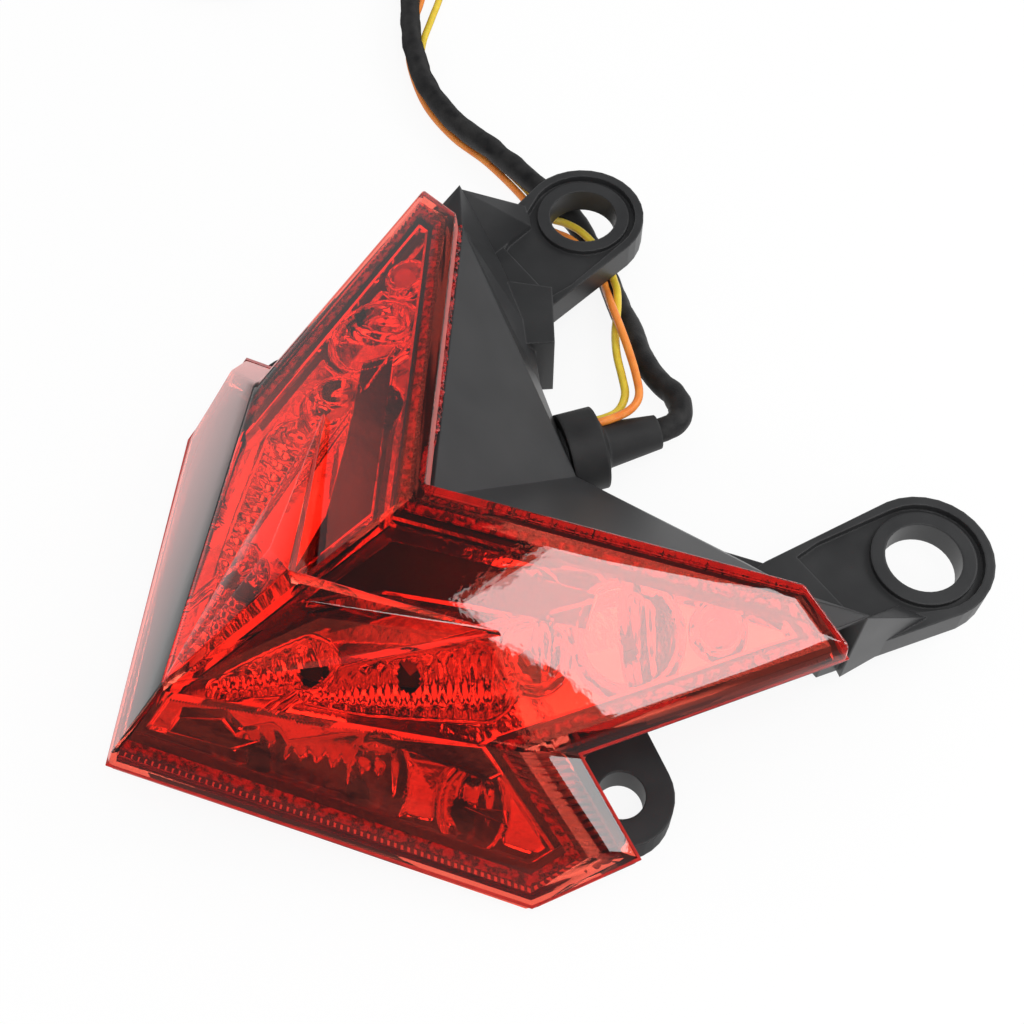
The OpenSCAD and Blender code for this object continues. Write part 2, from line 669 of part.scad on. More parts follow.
orange_route = [by_boot(7, wire_seats[1].x, wire_seats[1].y), by_boot(12,
    wire_seats[1].x, wire_seats[1].y), [-7.6, 46.4, 14.3], [-9.6, 50.6, 13.9], [-14.6, 53.8, 13.6],
    [-21, 56.8, 13.5], [-27.6, 59.5, 13.5], [-33, 61.8, 12.6], [-37.6, 64.3, 10.4], [-41.2, 66.4, 8.3],
    [-46, 68.7, 7.4], [-53, 70.2, 7.3], [-60, 70.2, 6.4], [-65.4, 69.7, 4.3], [-70.4, 69.4, 2.2],
    [-76, 70.1, 1.2], [-82, 71.8, 0.98], [-97, 71.6, 0.96], [-110, 69.6, 0.96], [-124, 70.4, 0.96],
    [-138, 75, 0.96], [-147, 80.4, 0.96], [-153.4, 86.4, 0.96], [-158.8, 92.4, 0.96],
    [-165.4, 98.4, 1.1], [-173, 102.4, 1.8], [-182, 104, 2.3]];

// A smooth curve through the places, and a round tube along it.
function bend_at(a, b, c, d, t) = b + 0.5 * t * (c - a
    + t * (2 * a - 5 * b + 4 * c - d + t * (3 * (b - c) + d - a)));
function curve(q, k) = let (n = len(q)) concat([for (i = [0:n - 2]) for (j = [0:k - 1])
    bend_at(q[max(i - 1, 0)], q[i], q[i + 1], q[min(i + 2, n - 1)], j / k)], [q[n - 1]]);
function ring_at(q, i, d, sides) = let (way = q[min(i + 1, len(q) - 1)] - q[max(i - 1, 0)],
    across = cross(way, [0, 0, 1]), u = across / norm(across), v = cross(u, way) / norm(way))
    [for (k = [0:sides - 1]) q[i] + d / 2 * (u * cos(360 * k / sides) + v * sin(360 * k / sides))];
module tube(q, d, sides) {
    n = len(q);
    points = [for (i = [0:n - 1]) for (p = ring_at(q, i, d, sides)) p];
    walls = [for (i = [0:n - 2]) for (k = [0:sides - 1]) let (m = (k + 1) % sides)
        [i * sides + k, i * sides + m, (i + 1) * sides + m, (i + 1) * sides + k]];
    start = [for (k = [sides - 1:-1:0]) k];
    finish = [for (k = [0:sides - 1]) (n - 1) * sides + k];
    polyhedron(points, concat([start], walls, [finish]));
}

module sleeve_tube() {
    color([0.08, 0.08, 0.08]) tube(curve(sleeve_route, 2), sleeve_d, 10);
}
module yellow_wire() {
    color([0.85, 0.72, 0.1]) tube(curve(yellow_route, 2), wire_d, 8);
}
module orange_wire() {
    color([0.95, 0.45, 0.1]) tube(curve(orange_route, 2), wire_d, 8);
}

// The plug at the end of the sleeve. It points along -Y.
plug_w = 16;
plug_h = 9;
plug_l = 20;
pin_step = 4.2;
module at_plug() {
    translate(plug_at) children();
}
module plug_gland() {
    color([0.1, 0.1, 0.1]) {
        at_plug() {
            rotate([-90, 0, 0]) {
                difference() {
                    translate([0, 0, 0.05]) cylinder(h = 8, d1 = sleeve_d + 2.8, d2 = sleeve_d + 1.8);
                    translate([0, 0, 0.8]) cylinder(h = 8, d = sleeve_d + 0.5);
                }
            }
        }
    }
}
module plug_housing() {
    color([0.12, 0.12, 0.13]) {
        at_plug() {
            difference() {
                union() {
                    translate([-plug_w / 2, -plug_l, -plug_h / 2]) cube([plug_w, plug_l, plug_h]);
                    translate([-plug_w / 2 - 0.8, -7, -plug_h / 2]) cube([plug_w + 1.6, 3, plug_h]);
                    translate([-3, -plug_l + 3, plug_h / 2 - 0.5]) cube([6, plug_l - 6, 1.7]);
                }
                translate([-plug_w / 2 + 1.4, -plug_l - cut, -plug_h / 2 + 1.4]) {
                    cube([plug_w - 2.8, plug_l - 6, plug_h - 2.8]);
                }
                for (i = [-1:1]) {
                    translate([i * pin_step, cut, 0]) rotate([90, 0, 0]) cylinder(h = 9, d = 2);
                }
            }
        }
    }
}
module plug_terminals() {
    color([0.75, 0.6, 0.25]) {
        at_plug() {
            for (i = [-1:1]) {
                translate([i * pin_step, -0.3, 0]) rotate([90, 0, 0]) cylinder(h = plug_l - 3.5, d = 1.5);
            }
        }
    }
}
module plug_seal() {
    color([0.85, 0.35, 0.08]) {
        at_plug() {
            translate([0, -8.8, 0]) {
                difference() {
                    cube([plug_w - 3.2, 3, plug_h - 3.2], center = true);
                    cube([3 * pin_step - 0.6, 4, 2.2], center = true);
                }
            }
        }
    }
}

// Bullet connectors at the ends of the two loose wires.
bullet_d = 4.4;
bullet_l = 18;
module at_bullets() {
    for (q = [yellow_route, orange_route]) {
        translate(q[len(q) - 1] - [0.3, 0, 0]) rotate([0, -90, 0]) children();
    }
}
module bullet_sleeves() {
    color([0.75, 0.75, 0.72]) {
        at_bullets() {
            difference() {
                cylinder(h = bullet_l, d1 = bullet_d - 0.8, d2 = bullet_d);
                translate([0, 0, bullet_l - 9]) cylinder(h = 10, d = bullet_d - 1);
            }
        }
    }
}
module bullet_pins() {
    color([0.75, 0.6, 0.25]) {
        at_bullets() {
            translate([0, 0, bullet_l - 8.8]) cylinder(h = 10.5, d = bullet_d - 1.6);
            translate([0, 0, bullet_l + 1.7]) cylinder(h = 1, d1 = bullet_d - 1.6, d2 = bullet_d - 3.2);
        }
    }
}

housing();
lens();
lens_bead();
bezel();
reflector_right();
reflector_left();
reflector_keel();
board_right();
board_left();
board_keel();
leds_right();
leds_left();
leds_keel();
amber_leds();
amber_boards();
resistors();
board_screws();
board_links();
boot();
sleeve_tube();
yellow_wire();
orange_wire();
plug_gland();
plug_housing();
plug_terminals();
plug_seal();
bullet_sleeves();
bullet_pins();
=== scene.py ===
import math

import bmesh
import bpy
from mathutils import Matrix, Vector, noise


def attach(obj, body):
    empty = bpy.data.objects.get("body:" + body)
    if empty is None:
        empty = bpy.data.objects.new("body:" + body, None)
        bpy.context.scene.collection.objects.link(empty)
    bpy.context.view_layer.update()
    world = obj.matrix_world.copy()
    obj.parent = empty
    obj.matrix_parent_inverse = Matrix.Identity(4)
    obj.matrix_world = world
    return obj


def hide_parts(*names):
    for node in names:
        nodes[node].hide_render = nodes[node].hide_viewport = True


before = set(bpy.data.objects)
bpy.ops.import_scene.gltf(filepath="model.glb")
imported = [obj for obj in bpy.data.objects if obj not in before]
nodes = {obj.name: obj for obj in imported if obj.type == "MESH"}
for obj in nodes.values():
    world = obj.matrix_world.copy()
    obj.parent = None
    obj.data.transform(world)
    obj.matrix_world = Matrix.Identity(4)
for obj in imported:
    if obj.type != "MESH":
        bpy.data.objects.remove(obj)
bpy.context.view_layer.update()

# Camera. It stands off the lamp's front right, above it, and looks down across
# the right wing towards the left one.
MM = 0.001
camera_place = Vector((123.34, -81.26, 275.43)) * MM
camera_target = Vector((5.78, 4.36, 30)) * MM
camera_lens = bpy.data.cameras.new("camera_lens")
camera_lens.lens = 50.3
camera_lens.sensor_width = 36
camera_lens.clip_start = 0.01
camera = bpy.data.objects.new("camera", camera_lens)
camera_turn = (camera_target - camera_place).to_track_quat("-Z", "Y")
camera.matrix_world = Matrix.LocRotScale(camera_place, camera_turn, None)
bpy.context.scene.collection.objects.link(camera)
bpy.context.scene.camera = camera


# Cable sleeve. Black plastic tubing, heat shrunk loosely over the main leads, so
# it is limp and wrinkled. It is pushed into the boot's neck and into the plug's
# gland, and lies on the table between them.
def new_material(name):
    material = bpy.data.materials.new(name)
    material.use_nodes = True
    return material, material.node_tree, material.node_tree.nodes["Principled BSDF"]


def set_values(node, **values):
    for name, value in values.items():
        node.inputs[name.replace("_", " ")].default_value = value


def put_group(tree, group, **values):
    node = tree.nodes.new("ShaderNodeGroup")
    node.node_tree = group
    set_values(node, **values)
    return node


def ramp(tree, source, low, high, low_colour, high_colour):
    node = tree.nodes.new("ShaderNodeValToRGB")
    node.color_ramp.elements[0].position = low
    node.color_ramp.elements[1].position = high
    node.color_ramp.elements[0].color = (*low_colour, 1)
    node.color_ramp.elements[1].color = (*high_colour, 1)
    tree.links.new(source, node.inputs["Fac"])
    return node.outputs["Color"]


def level(tree, source, low, high):
    node = tree.nodes.new("ShaderNodeMapRange")
    node.inputs["To Min"].default_value = low
    node.inputs["To Max"].default_value = high
    tree.links.new(source, node.inputs["Value"])
    return node.outputs["Result"]


def bump(tree, height, distance, strength=1.0):
    node = tree.nodes.new("ShaderNodeBump")
    set_values(node, Strength=strength, Distance=distance)
    tree.links.new(height, node.inputs["Height"])
    return node.outputs["Normal"]


def make_grain():
    group = bpy.data.node_groups.new("moulded_grain", "ShaderNodeTree")
    face = group.interface
    face.new_socket("Fine Size", in_out="INPUT", socket_type="NodeSocketFloat").default_value = 4000
    face.new_socket("Broad Size", in_out="INPUT", socket_type="NodeSocketFloat").default_value = 90
    face.new_socket("Height", in_out="OUTPUT", socket_type="NodeSocketFloat")
    face.new_socket("Clouds", in_out="OUTPUT", socket_type="NodeSocketFloat")
    given = group.nodes.new("NodeGroupInput")
    result = group.nodes.new("NodeGroupOutput")
    place = group.nodes.new("ShaderNodeTexCoord")
    fine = group.nodes.new("ShaderNodeTexNoise")
    broad = group.nodes.new("ShaderNodeTexNoise")
    fine.inputs["Detail"].default_value = 3
    broad.inputs["Detail"].default_value = 5
    for texture, size in ((fine, "Fine Size"), (broad, "Broad Size")):
        group.links.new(place.outputs["Object"], texture.inputs["Vector"])
        group.links.new(given.outputs[size], texture.inputs["Scale"])
    group.links.new(fine.outputs["Fac"], result.inputs["Height"])
    group.links.new(broad.outputs["Fac"], result.inputs["Clouds"])
    return group


grain = make_grain()


def clouded(tree, shader, fine, broad, low, high, dark, light):
    """Put the grain in a material and vary its colour between two shades."""
    texture = put_group(tree, grain, Fine_Size=fine, Broad_Size=broad)
    tree.links.new(ramp(tree, texture.outputs["Clouds"], low, high, dark, light), shader.inputs["Base Color"])
    return texture


def smooth_path(places, steps):
    q = [Vector(p) * MM for p in places]
    line = []
    for i in range(len(q) - 1):
        a, b, c, d = q[max(i - 1, 0)], q[i], q[i + 1], q[min(i + 2, len(q) - 1)]
        for j in range(steps):
            t = j / steps
            line.append(b + 0.5 * t * (c - a + t * (2 * a - 5 * b + 4 * c - d + t * (3 * (b - c) + d - a))))
    return line + [q[-1]]


def new_piece(name, verts, faces, material, smooth=True):
    mesh = bpy.data.meshes.new(name)
    mesh.from_pydata([tuple(v) for v in verts], [], faces)
    mesh.update()
    shell = bmesh.new()
    shell.from_mesh(mesh)
    bmesh.ops.recalc_face_normals(shell, faces=shell.faces)
    shell.to_mesh(mesh)
    shell.free()
    mesh.polygons.foreach_set("use_smooth", [smooth] * len(mesh.polygons))
    mesh.materials.append(material)
    piece = bpy.data.objects.new(name, mesh)
    bpy.context.scene.collection.objects.link(piece)
    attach(piece, "root")
    return piece


def tube_verts(line, sides, radius_of):
    verts = []
    run = 0.0
    for i, spot in enumerate(line):
        way = (line[min(i + 1, len(line) - 1)] - line[max(i - 1, 0)]).normalized()
        across = way.cross(Vector((0, 0, 1))).normalized()
        up = across.cross(way)
        run += (spot - line[i - 1]).length if i else 0.0
        for k in range(sides):
            turn = 2 * math.pi * k / sides
            out = across * math.cos(turn) + up * math.sin(turn)
            verts.append(spot + out * radius_of(spot, out, run))
    return verts


def tube_faces(rings, sides):
    faces = []
    for i in range(rings - 1):
        for k in range(sides):
            m = (k + 1) % sides
            faces.append((i * sides + k, i * sides + m, (i + 1) * sides + m, (i + 1) * sides + k))
    return faces + [list(range(sides)), list(range((rings - 1) * sides, rings * sides))]


sleeve_d = 6.0
sleeve_route = [
    (-4.42, 41.83, 9.7), (-1.65, 49.86, 9.7), (-0.9, 54.2, 9.7), (-3.2, 58, 9.5), (-7.6, 59.6, 9.2),
    (-12.4, 59.5, 8.8), (-17.5, 60, 8.2), (-22.5, 61.6, 7.3), (-29, 64.6, 6), (-38, 68.2, 4.1),
    (-47, 71.5, 3.1), (-60.5, 75.3, 3.1), (-70, 76.4, 3.6), (-82, 74.8, 4.95), (-97, 73.2, 4.95),
    (-110, 71.2, 4.95), (-124, 72, 4.95), (-138, 76.6, 4.95), (-152, 84.3, 4.95), (-164, 92.5, 4.3),
    (-174, 97.3, 3.4), (-185, 97.2, 3.1), (-194.5, 92, 3.4), (-200.3, 83.6, 4.4), (-202, 75, 4.8),
    (-202, 68.2, 4.8),
]
sleeve_line = smooth_path(sleeve_route, 9)
sleeve_sides = 20


def sleeve_radius(spot, out, run):
    crease = noise.noise(Vector((out.x * 1.1, out.z * 1.1 + 4, run * 190)))
    fold = noise.noise(Vector((out.x * 2.6, out.z * 2.6, run * 420 + 9)))
    return sleeve_d / 2 * MM * min(1.0, 0.92 + 0.14 * crease + 0.06 * fold)


sleeve_verts = tube_verts(sleeve_line, sleeve_sides, sleeve_radius)

sleeve_black, tree, shader = new_material("sleeve_black")
set_values(shader, Roughness=0.55, Specular_IOR_Level=0.35)
texture = clouded(tree, shader, 2600, 260, 0.35, 0.7, (0.009, 0.009, 0.01), (0.028, 0.027, 0.027))
tree.links.new(level(tree, texture.outputs["Clouds"], 0.42, 0.68), shader.inputs["Roughness"])
tree.links.new(bump(tree, texture.outputs["Height"], 0.00008), shader.inputs["Normal"])
sleeve = new_piece("sleeve", sleeve_verts, tube_faces(len(sleeve_line), sleeve_sides), sleeve_black)
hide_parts("sleeve_tube")


# Plug at the end of the sleeve: a moulded nylon housing with a lock tab, a rubber
# gland, three plated terminals and a soft seal ring, pressed together.
def put_math(tree, operation, first, second, clamp=False):
    node = tree.nodes.new("ShaderNodeMath")
    node.operation = operation
    node.use_clamp = clamp
    for socket, value in zip(node.inputs, (first, second)):
        if isinstance(value, float):
            socket.default_value = value
        else:
            tree.links.new(value, socket)
    return node.outputs["Value"]


def make_wear():
    group = bpy.data.node_groups.new("edge_wear", "ShaderNodeTree")
    face = group.interface
    face.new_socket("Width", in_out="INPUT", socket_type="NodeSocketFloat").default_value = 0.0004
    face.new_socket("Amount", in_out="INPUT", socket_type="NodeSocketFloat").default_value = 1.0
    face.new_socket("Mask", in_out="OUTPUT", socket_type="NodeSocketFloat")
    face.new_socket("Soft Normal", in_out="OUTPUT", socket_type="NodeSocketVector")
    given = group.nodes.new("NodeGroupInput")
    result = group.nodes.new("NodeGroupOutput")
    round_edge = group.nodes.new("ShaderNodeBevel")
    round_edge.samples = 6
    true_face = group.nodes.new("ShaderNodeNewGeometry")
    compare = group.nodes.new("ShaderNodeVectorMath")
    compare.operation = "DOT_PRODUCT"
    spread = group.nodes.new("ShaderNodeMapRange")
    set_values(spread, From_Min=0.995, From_Max=0.86, To_Min=0.0, To_Max=1.0)
    patches = group.nodes.new("ShaderNodeTexNoise")
    set_values(patches, Scale=700, Detail=4)
    place = group.nodes.new("ShaderNodeTexCoord")
    group.links.new(given.outputs["Width"], round_edge.inputs["Radius"])
    group.links.new(round_edge.outputs["Normal"], compare.inputs[0])
    group.links.new(true_face.outputs["Normal"], compare.inputs[1])
    group.links.new(compare.outputs["Value"], spread.inputs["Value"])
    group.links.new(place.outputs["Object"], patches.inputs["Vector"])
    broken = put_math(group, "MULTIPLY", spread.outputs["Result"], patches.outputs["Fac"])
    group.links.new(put_math(group, "MULTIPLY", broken, given.outputs["Amount"]), result.inputs["Mask"])
    group.links.new(round_edge.outputs["Normal"], result.inputs["Soft Normal"])
    return group


wear = make_wear()


def moulded(name, dark, light, worn, roughness, edge=0.0004, fine=3800, broad=110, depth=0.00002):
    """A moulded plastic or rubber: cloudy colour, fine grain, and edges rubbed paler."""
    material, tree, shader = new_material(name)
    texture = put_group(tree, grain, Fine_Size=fine, Broad_Size=broad)
    rubbed = put_group(tree, wear, Width=edge, Amount=0.8)
    blend = tree.nodes.new("ShaderNodeMix")
    blend.data_type = "RGBA"
    blend.inputs["B"].default_value = (*worn, 1)
    tree.links.new(rubbed.outputs["Mask"], blend.inputs["Factor"])
    tree.links.new(ramp(tree, texture.outputs["Clouds"], 0.3, 0.72, dark, light), blend.inputs["A"])
    tree.links.new(blend.outputs["Result"], shader.inputs["Base Color"])
    uneven = level(tree, texture.outputs["Clouds"], roughness - 0.07, roughness + 0.09)
    tree.links.new(uneven, shader.inputs["Roughness"])
    relief = tree.nodes.new("ShaderNodeBump")
    set_values(relief, Strength=0.6, Distance=depth)
    tree.links.new(texture.outputs["Height"], relief.inputs["Height"])
    tree.links.new(rubbed.outputs["Soft Normal"], relief.inputs["Normal"])
    tree.links.new(relief.outputs["Normal"], shader.inputs["Normal"])
    return material


def metal(name, dark, light, roughness, edge=0.00015):
    """A plated or drawn metal with faint stains and softened edges."""
    material = moulded(name, dark, light, light, roughness, edge=edge, fine=6000, broad=500, depth=0.000008)
    material.node_tree.nodes["Principled BSDF"].inputs["Metallic"].default_value = 1.0
    return material


def dress(node, material):
    mesh = nodes[node].data
    mesh.materials.clear()
    mesh.materials.append(material)


plug_nylon = moulded("plug_nylon", (0.016, 0.016, 0.018), (0.03, 0.03, 0.032), (0.09, 0.09, 0.09), 0.4)
gland_rubber = moulded("gland_rubber", (0.012, 0.012, 0.012), (0.022, 0.022, 0.022), (0.05, 0.05, 0.05), 0.62)
terminal_brass = metal("terminal_brass", (0.62, 0.42, 0.16), (0.8, 0.6, 0.28), 0.28)
seal_rubber = moulded("seal_rubber", (0.3, 0.05, 0.02), (0.42, 0.08, 0.03), (0.5, 0.14, 0.08), 0.5)
dress("plug_housing", plug_nylon)
dress("plug_gland", gland_rubber)
dress("plug_terminals", terminal_brass)
dress("plug_seal", seal_rubber)


# Signal leads. Two thin stranded wires in coloured insulation come out of the boot
# beside the sleeve, and each ends in a crimped bullet connector.
wire_d = 1.9
yellow_route = [
    (-12.0, 37.05, 11.9), (-10.37, 41.77, 11.9), (-10.2, 45.4, 11.9), (-12.6, 49.2, 12), (-17, 51.8, 12),
    (-22.4, 54.6, 12), (-28, 58.6, 11.1), (-34, 64, 10.2), (-38.8, 67.8, 9.2), (-42.6, 69.9, 8),
    (-46.8, 71.7, 7.7), (-53, 73.2, 7.4), (-60, 73.4, 7.1), (-65.6, 72.8, 5.6), (-70.4, 72.2, 3.2),
    (-76, 72.4, 1.2), (-82, 74.2, 0.98), (-97, 73.8, 0.96), (-110, 71.8, 0.96), (-124, 72.6, 0.96),
    (-136, 77, 0.96), (-144.4, 83.2, 0.96), (-151, 90.6, 0.96), (-158, 98.6, 0.96), (-166.4, 105.6, 1.1),
    (-175, 109.8, 1.8), (-185, 111, 2.3),
]
orange_route = [
    (-9.64, 36.23, 14.8), (-8.01, 40.95, 14.8), (-7.6, 46.4, 14.3), (-9.6, 50.6, 13.9), (-14.6, 53.8, 13.6),
    (-21, 56.8, 13.5), (-27.6, 59.5, 13.5), (-33, 61.8, 12.6), (-37.6, 64.3, 10.4), (-41.2, 66.4, 8.3),
    (-46, 68.7, 7.4), (-53, 70.2, 7.3), (-60, 70.2, 6.4), (-65.4, 69.7, 4.3), (-70.4, 69.4, 2.2),
    (-76, 70.1, 1.2), (-82, 71.8, 0.98), (-97, 71.6, 0.96), (-110, 69.6, 0.96), (-124, 70.4, 0.96),
    (-138, 75, 0.96), (-147, 80.4, 0.96), (-153.4, 86.4, 0.96), (-158.8, 92.4, 0.96), (-165.4, 98.4, 1.1),
    (-173, 102.4, 1.8), (-182, 104, 2.3),
]


def insulation(name, dark, light):
    material, tree, shader = new_material(name)
    set_values(shader, Roughness=0.34, Subsurface_Weight=0.08, Subsurface_Scale=0.0008)
    texture = clouded(tree, shader, 1500, 320, 0.3, 0.7, dark, light)
    tree.links.new(level(tree, texture.outputs["Clouds"], 0.28, 0.42), shader.inputs["Roughness"])
    tree.links.new(bump(tree, texture.outputs["Height"], 0.00004), shader.inputs["Normal"])
    return material


def lead(name, route, material, node):
    spline = bpy.data.curves.new(name, "CURVE")
    spline.dimensions = "3D"
    spline.bevel_depth = wire_d / 2 * MM
    spline.bevel_resolution = 5
    spline.use_fill_caps = True
    line = smooth_path(route, 6)
    strand = spline.splines.new("POLY")
    strand.points.add(len(line) - 1)
    for point, spot in zip(strand.points, line):
        point.co = (*spot, 1)
    strand.use_smooth = True
    spline.materials.append(material)
    piece = bpy.data.objects.new(name, spline)
    bpy.context.scene.collection.objects.link(piece)
    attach(piece, "root")
    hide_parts(node)
    return piece


yellow_pvc = insulation("yellow_pvc", (0.72, 0.5, 0.03), (0.86, 0.64, 0.05))
orange_pvc = insulation("orange_pvc", (0.85, 0.22, 0.03), (0.95, 0.32, 0.05))
lead("yellow_lead", yellow_route, yellow_pvc, "yellow_wire")
lead("orange_lead", orange_route, orange_pvc, "orange_wire")
bullet_nylon = moulded("bullet_nylon", (0.5, 0.5, 0.47), (0.62, 0.62, 0.58), (0.7, 0.7, 0.68), 0.35)
dress("bullet_sleeves", bullet_nylon)
dress("bullet_pins", terminal_brass)


# Housing. One moulding in black polypropylene: the tub under the lens, the sloping
# deck, two mounting ears and two lugs. It comes from the mould with a fine grain,
# and its edges rub paler in use.
case_plastic = moulded("case_plastic", (0.024, 0.0245, 0.026), (0.038, 0.0385, 0.04), (0.06, 0.06, 0.062),
                       0.4, edge=0.0006, fine=3200, broad=70, depth=0.00003)
dress("housing", case_plastic)


# Circuit boards. Strips of glass epoxy with a green solder mask stand on the posts
# behind the reflectors, held by small pan head screws and joined by wire links.
solder_mask = moulded("solder_mask", (0.008, 0.07, 0.02), (0.014, 0.11, 0.035), (0.25, 0.24, 0.12), 0.3,
                      edge=0.0002)
screw_steel = metal("screw_steel", (0.5, 0.5, 0.5), (0.68, 0.68, 0.67), 0.3)
link_tin = moulded("link_tin", (0.4, 0.02, 0.02), (0.55, 0.03, 0.03), (0.6, 0.1, 0.1), 0.35)
chip_black = moulded("chip_black", (0.01, 0.01, 0.01), (0.02, 0.02, 0.02), (0.2, 0.2, 0.2), 0.4, edge=0.0001)
for board in ("board_right", "board_left", "board_keel", "amber_boards"):
    dress(board, solder_mask)
dress("board_screws", screw_steel)
dress("board_links", link_tin)
dress("resistors", chip_black)


# Lamps. Each white LED is a moulded package with a silicone dome, soldered to its
# board. A turn signal LED with an amber body stands near each wing end.
led_resin = moulded("led_resin", (0.78, 0.62, 0.2), (0.9, 0.76, 0.36), (0.9, 0.88, 0.8), 0.22,
                    edge=0.0001, broad=900)
for lamp in ("leds_right", "leds_left", "leds_keel"):
    dress(lamp, led_resin)
amber_resin, tree, shader = new_material("amber_resin")
set_values(shader, IOR=1.5, Transmission_Weight=0.3, Roughness=0.12)
texture = clouded(tree, shader, 900, 300, 0.3, 0.7, (0.95, 0.25, 0.01), (1.0, 0.42, 0.03))
tree.links.new(bump(tree, texture.outputs["Height"], 0.00003), shader.inputs["Normal"])
dress("amber_leds", amber_resin)


# Reflectors. Thin mouldings with a vacuum coat of aluminium: one under each wing and
# one in the lower band. Each lamp looks out of its own scoop, a long bowl whose floor
# is fluted across, so that it spreads the light.
valley_y, valley_height = -11.5, 49
root_y, root_height = -70.5, 34.899
wing_rise, wing_fall = 0.239, 0.30
band_rise, band_fall = 0.96123, 1.00496


def face_z(x, y):
    return valley_height + wing_rise * (y - valley_y) - wing_fall * abs(x)


def band_z(x, y):
    return root_height + band_rise * (y - root_y) - band_fall * abs(x)


def skin_z(x, y):
    return min(face_z(x, y), band_z(x, y))


right_plan = [(0, -11.5), (56, 34.5), (69.5, 34.5), (50.2, -21.5), (69.1, -19.4), (65.4, -34.4), (0, -86)]
lens_plan = right_plan + [(-x, y) for x, y in reversed(right_plan[1:6])]


def inset(loop, d):
    n = len(loop)
    sides = []
    for i in range(n):
        way = (Vector(loop[(i + 1) % n]) - Vector(loop[i])).normalized()
        sides.append(Vector((way.y, -way.x)))
    moved = []
    for i in range(n):
        before, after = sides[i - 1], sides[i]
        moved.append(Vector(loop[i]) + d * (before + after) / (1 + before.dot(after)))
    return moved


def inside(loop, x, y):
    hit = False
    for i in range(len(loop)):
        (ax, ay), (bx, by) = loop[i], loop[i - 1]
        if (ay > y) != (by > y) and x < (bx - ax) * (y - ay) / (by - ay) + ax:
            hit = not hit
    return hit


# Each scoop: pointed end, round end, radius at the round end and depth.
wing_scoops = [
    ((2.6, -64.0), (10.5, -45.6), 5.4, 6.5),
    ((14.0, -51.0), (32.5, -22.0), 6.6, 7.0),
    ((9.0, -24.5), (26.0, -5.5), 5.0, 5.5),
    ((33.5, -12.4), (34.5, -11.2), 5.4, 5.0),
    ((41.6, 3.0), (42.4, 4.2), 9.0, 8.0),
    ((50.8, 17.5), (51.6, 18.4), 3.4, 2.6),
]
band_scoops = [
    ((9.0, -69.0), (17.5, -60.5), 4.0, 3.6),
    ((14.0, -65.5), (33.0, -46.5), 6.0, 5.6),
    ((44.5, -37.5), (46.6, -35.4), 6.2, 5.2),
]
flute_rise, flute_width = 0.9, 1.45
lamp_hole_r = 2.1
wing_mirror_depth, band_mirror_depth = 4.9, 5.4
mirror_inset = 6.1
lamp_holes = [(10.5, -46), (23, -32), (35, -13), (42, 5)]
band_holes = [(16, -62), (31, -50), (46, -36.5)]


def scoop_depth(x, y, scoops, flute):
    depth = 0.0
    for tip, end, radius, floor in scoops:
        axis = Vector(end) - Vector(tip)
        length = axis.length
        axis /= length
        off = Vector((x, y)) - Vector(tip)
        u = off.dot(axis)
        v = abs(off.x * axis.y - off.y * axis.x)
        if u <= 0:
            continue
        if u < length:
            share = u / length
            q = v / (radius * share ** 0.62 + 0.05)
            fall = floor * (0.25 + 0.75 * share) * min(1.0, u / 1.5)
        else:
            q = math.hypot(u - length, v) / radius
            fall = floor
        if q < 1:
            bowl = fall * (1 - q * q) ** 0.8
            bowl -= flute * abs(u / flute_width % 2 - 1) * min(1.0, 3 * (1 - q))
            depth = max(depth, bowl)
    return depth


def ridge_height(x, y, ridges, rings):
    height = -1.3
    for cx, cy, radius in rings:
        height = max(height, 1.2 - abs(math.hypot(x - cx, y - cy) - radius) * 2.2)
    for a, b, wide, tall in ridges:
        a, b, p = Vector(a), Vector(b), Vector((x, y))
        along = max(0.0, min(1.0, (p - a).dot(b - a) / (b - a).length_squared))
        gap = (p - a - along * (b - a)).length
        slope = -min(gap * 0.16, 1.3)
        height = max(height, tall * (1 - gap / wide)) if gap < wide else max(height, slope)
    return height


# Each ring: its centre and radius. Each ridge: its two ends, half width and height.
wing_rings = [(34.5, -11.2, 6.0), (42.4, 4.2, 9.5), (51.6, 18.4, 4.0)]
band_rings = [(33.0, -46.5, 6.0), (47.0, -35.0, 6.2)]
wing_ridges = [((12.7, -66), (14.6, -43.5), 0.9, 1.5), ((14.6, -43.5), (35.5, 5.5), 0.9, 1.5)]
band_ridges = [((27.0, -46.5), (44.0, -29.5), 0.8, 1.2), ((35.5, -41.0), (38.5, -46.0), 0.8, 1.2)]


def mirror_field(name, keep, surface, depth, scoops, ridges, rings, holes, node):
    step = 0.42
    left, low, width, length = -70, -88, 140, 125
    index, verts, faces = {}, [], []
    margin = inset(lens_plan, mirror_inset)

    def corner(i, j):
        if (i, j) not in index:
            x, y = left + i * step, low + j * step
            side = abs(x)
            z = surface(x, y) - depth - scoop_depth(side, y, scoops, flute_rise)
            z += ridge_height(side, y, ridges, rings)
            index[i, j] = len(verts)
            verts.append(Vector((x, y, z)) * MM)
        return index[i, j]

    for i in range(int(width / step)):
        for j in range(int(length / step)):
            x, y = left + (i + 0.5) * step, low + (j + 0.5) * step
            if not keep(x, y) or not inside(margin, x, y):
                continue
            if any(math.hypot(abs(x) - hx, y - hy) < lamp_hole_r for hx, hy in holes):
                continue
            faces.append((corner(i, j), corner(i + 1, j), corner(i + 1, j + 1), corner(i, j + 1)))
    piece = new_piece(name, verts, faces, mirror_coat)
    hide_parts(node)
    return piece


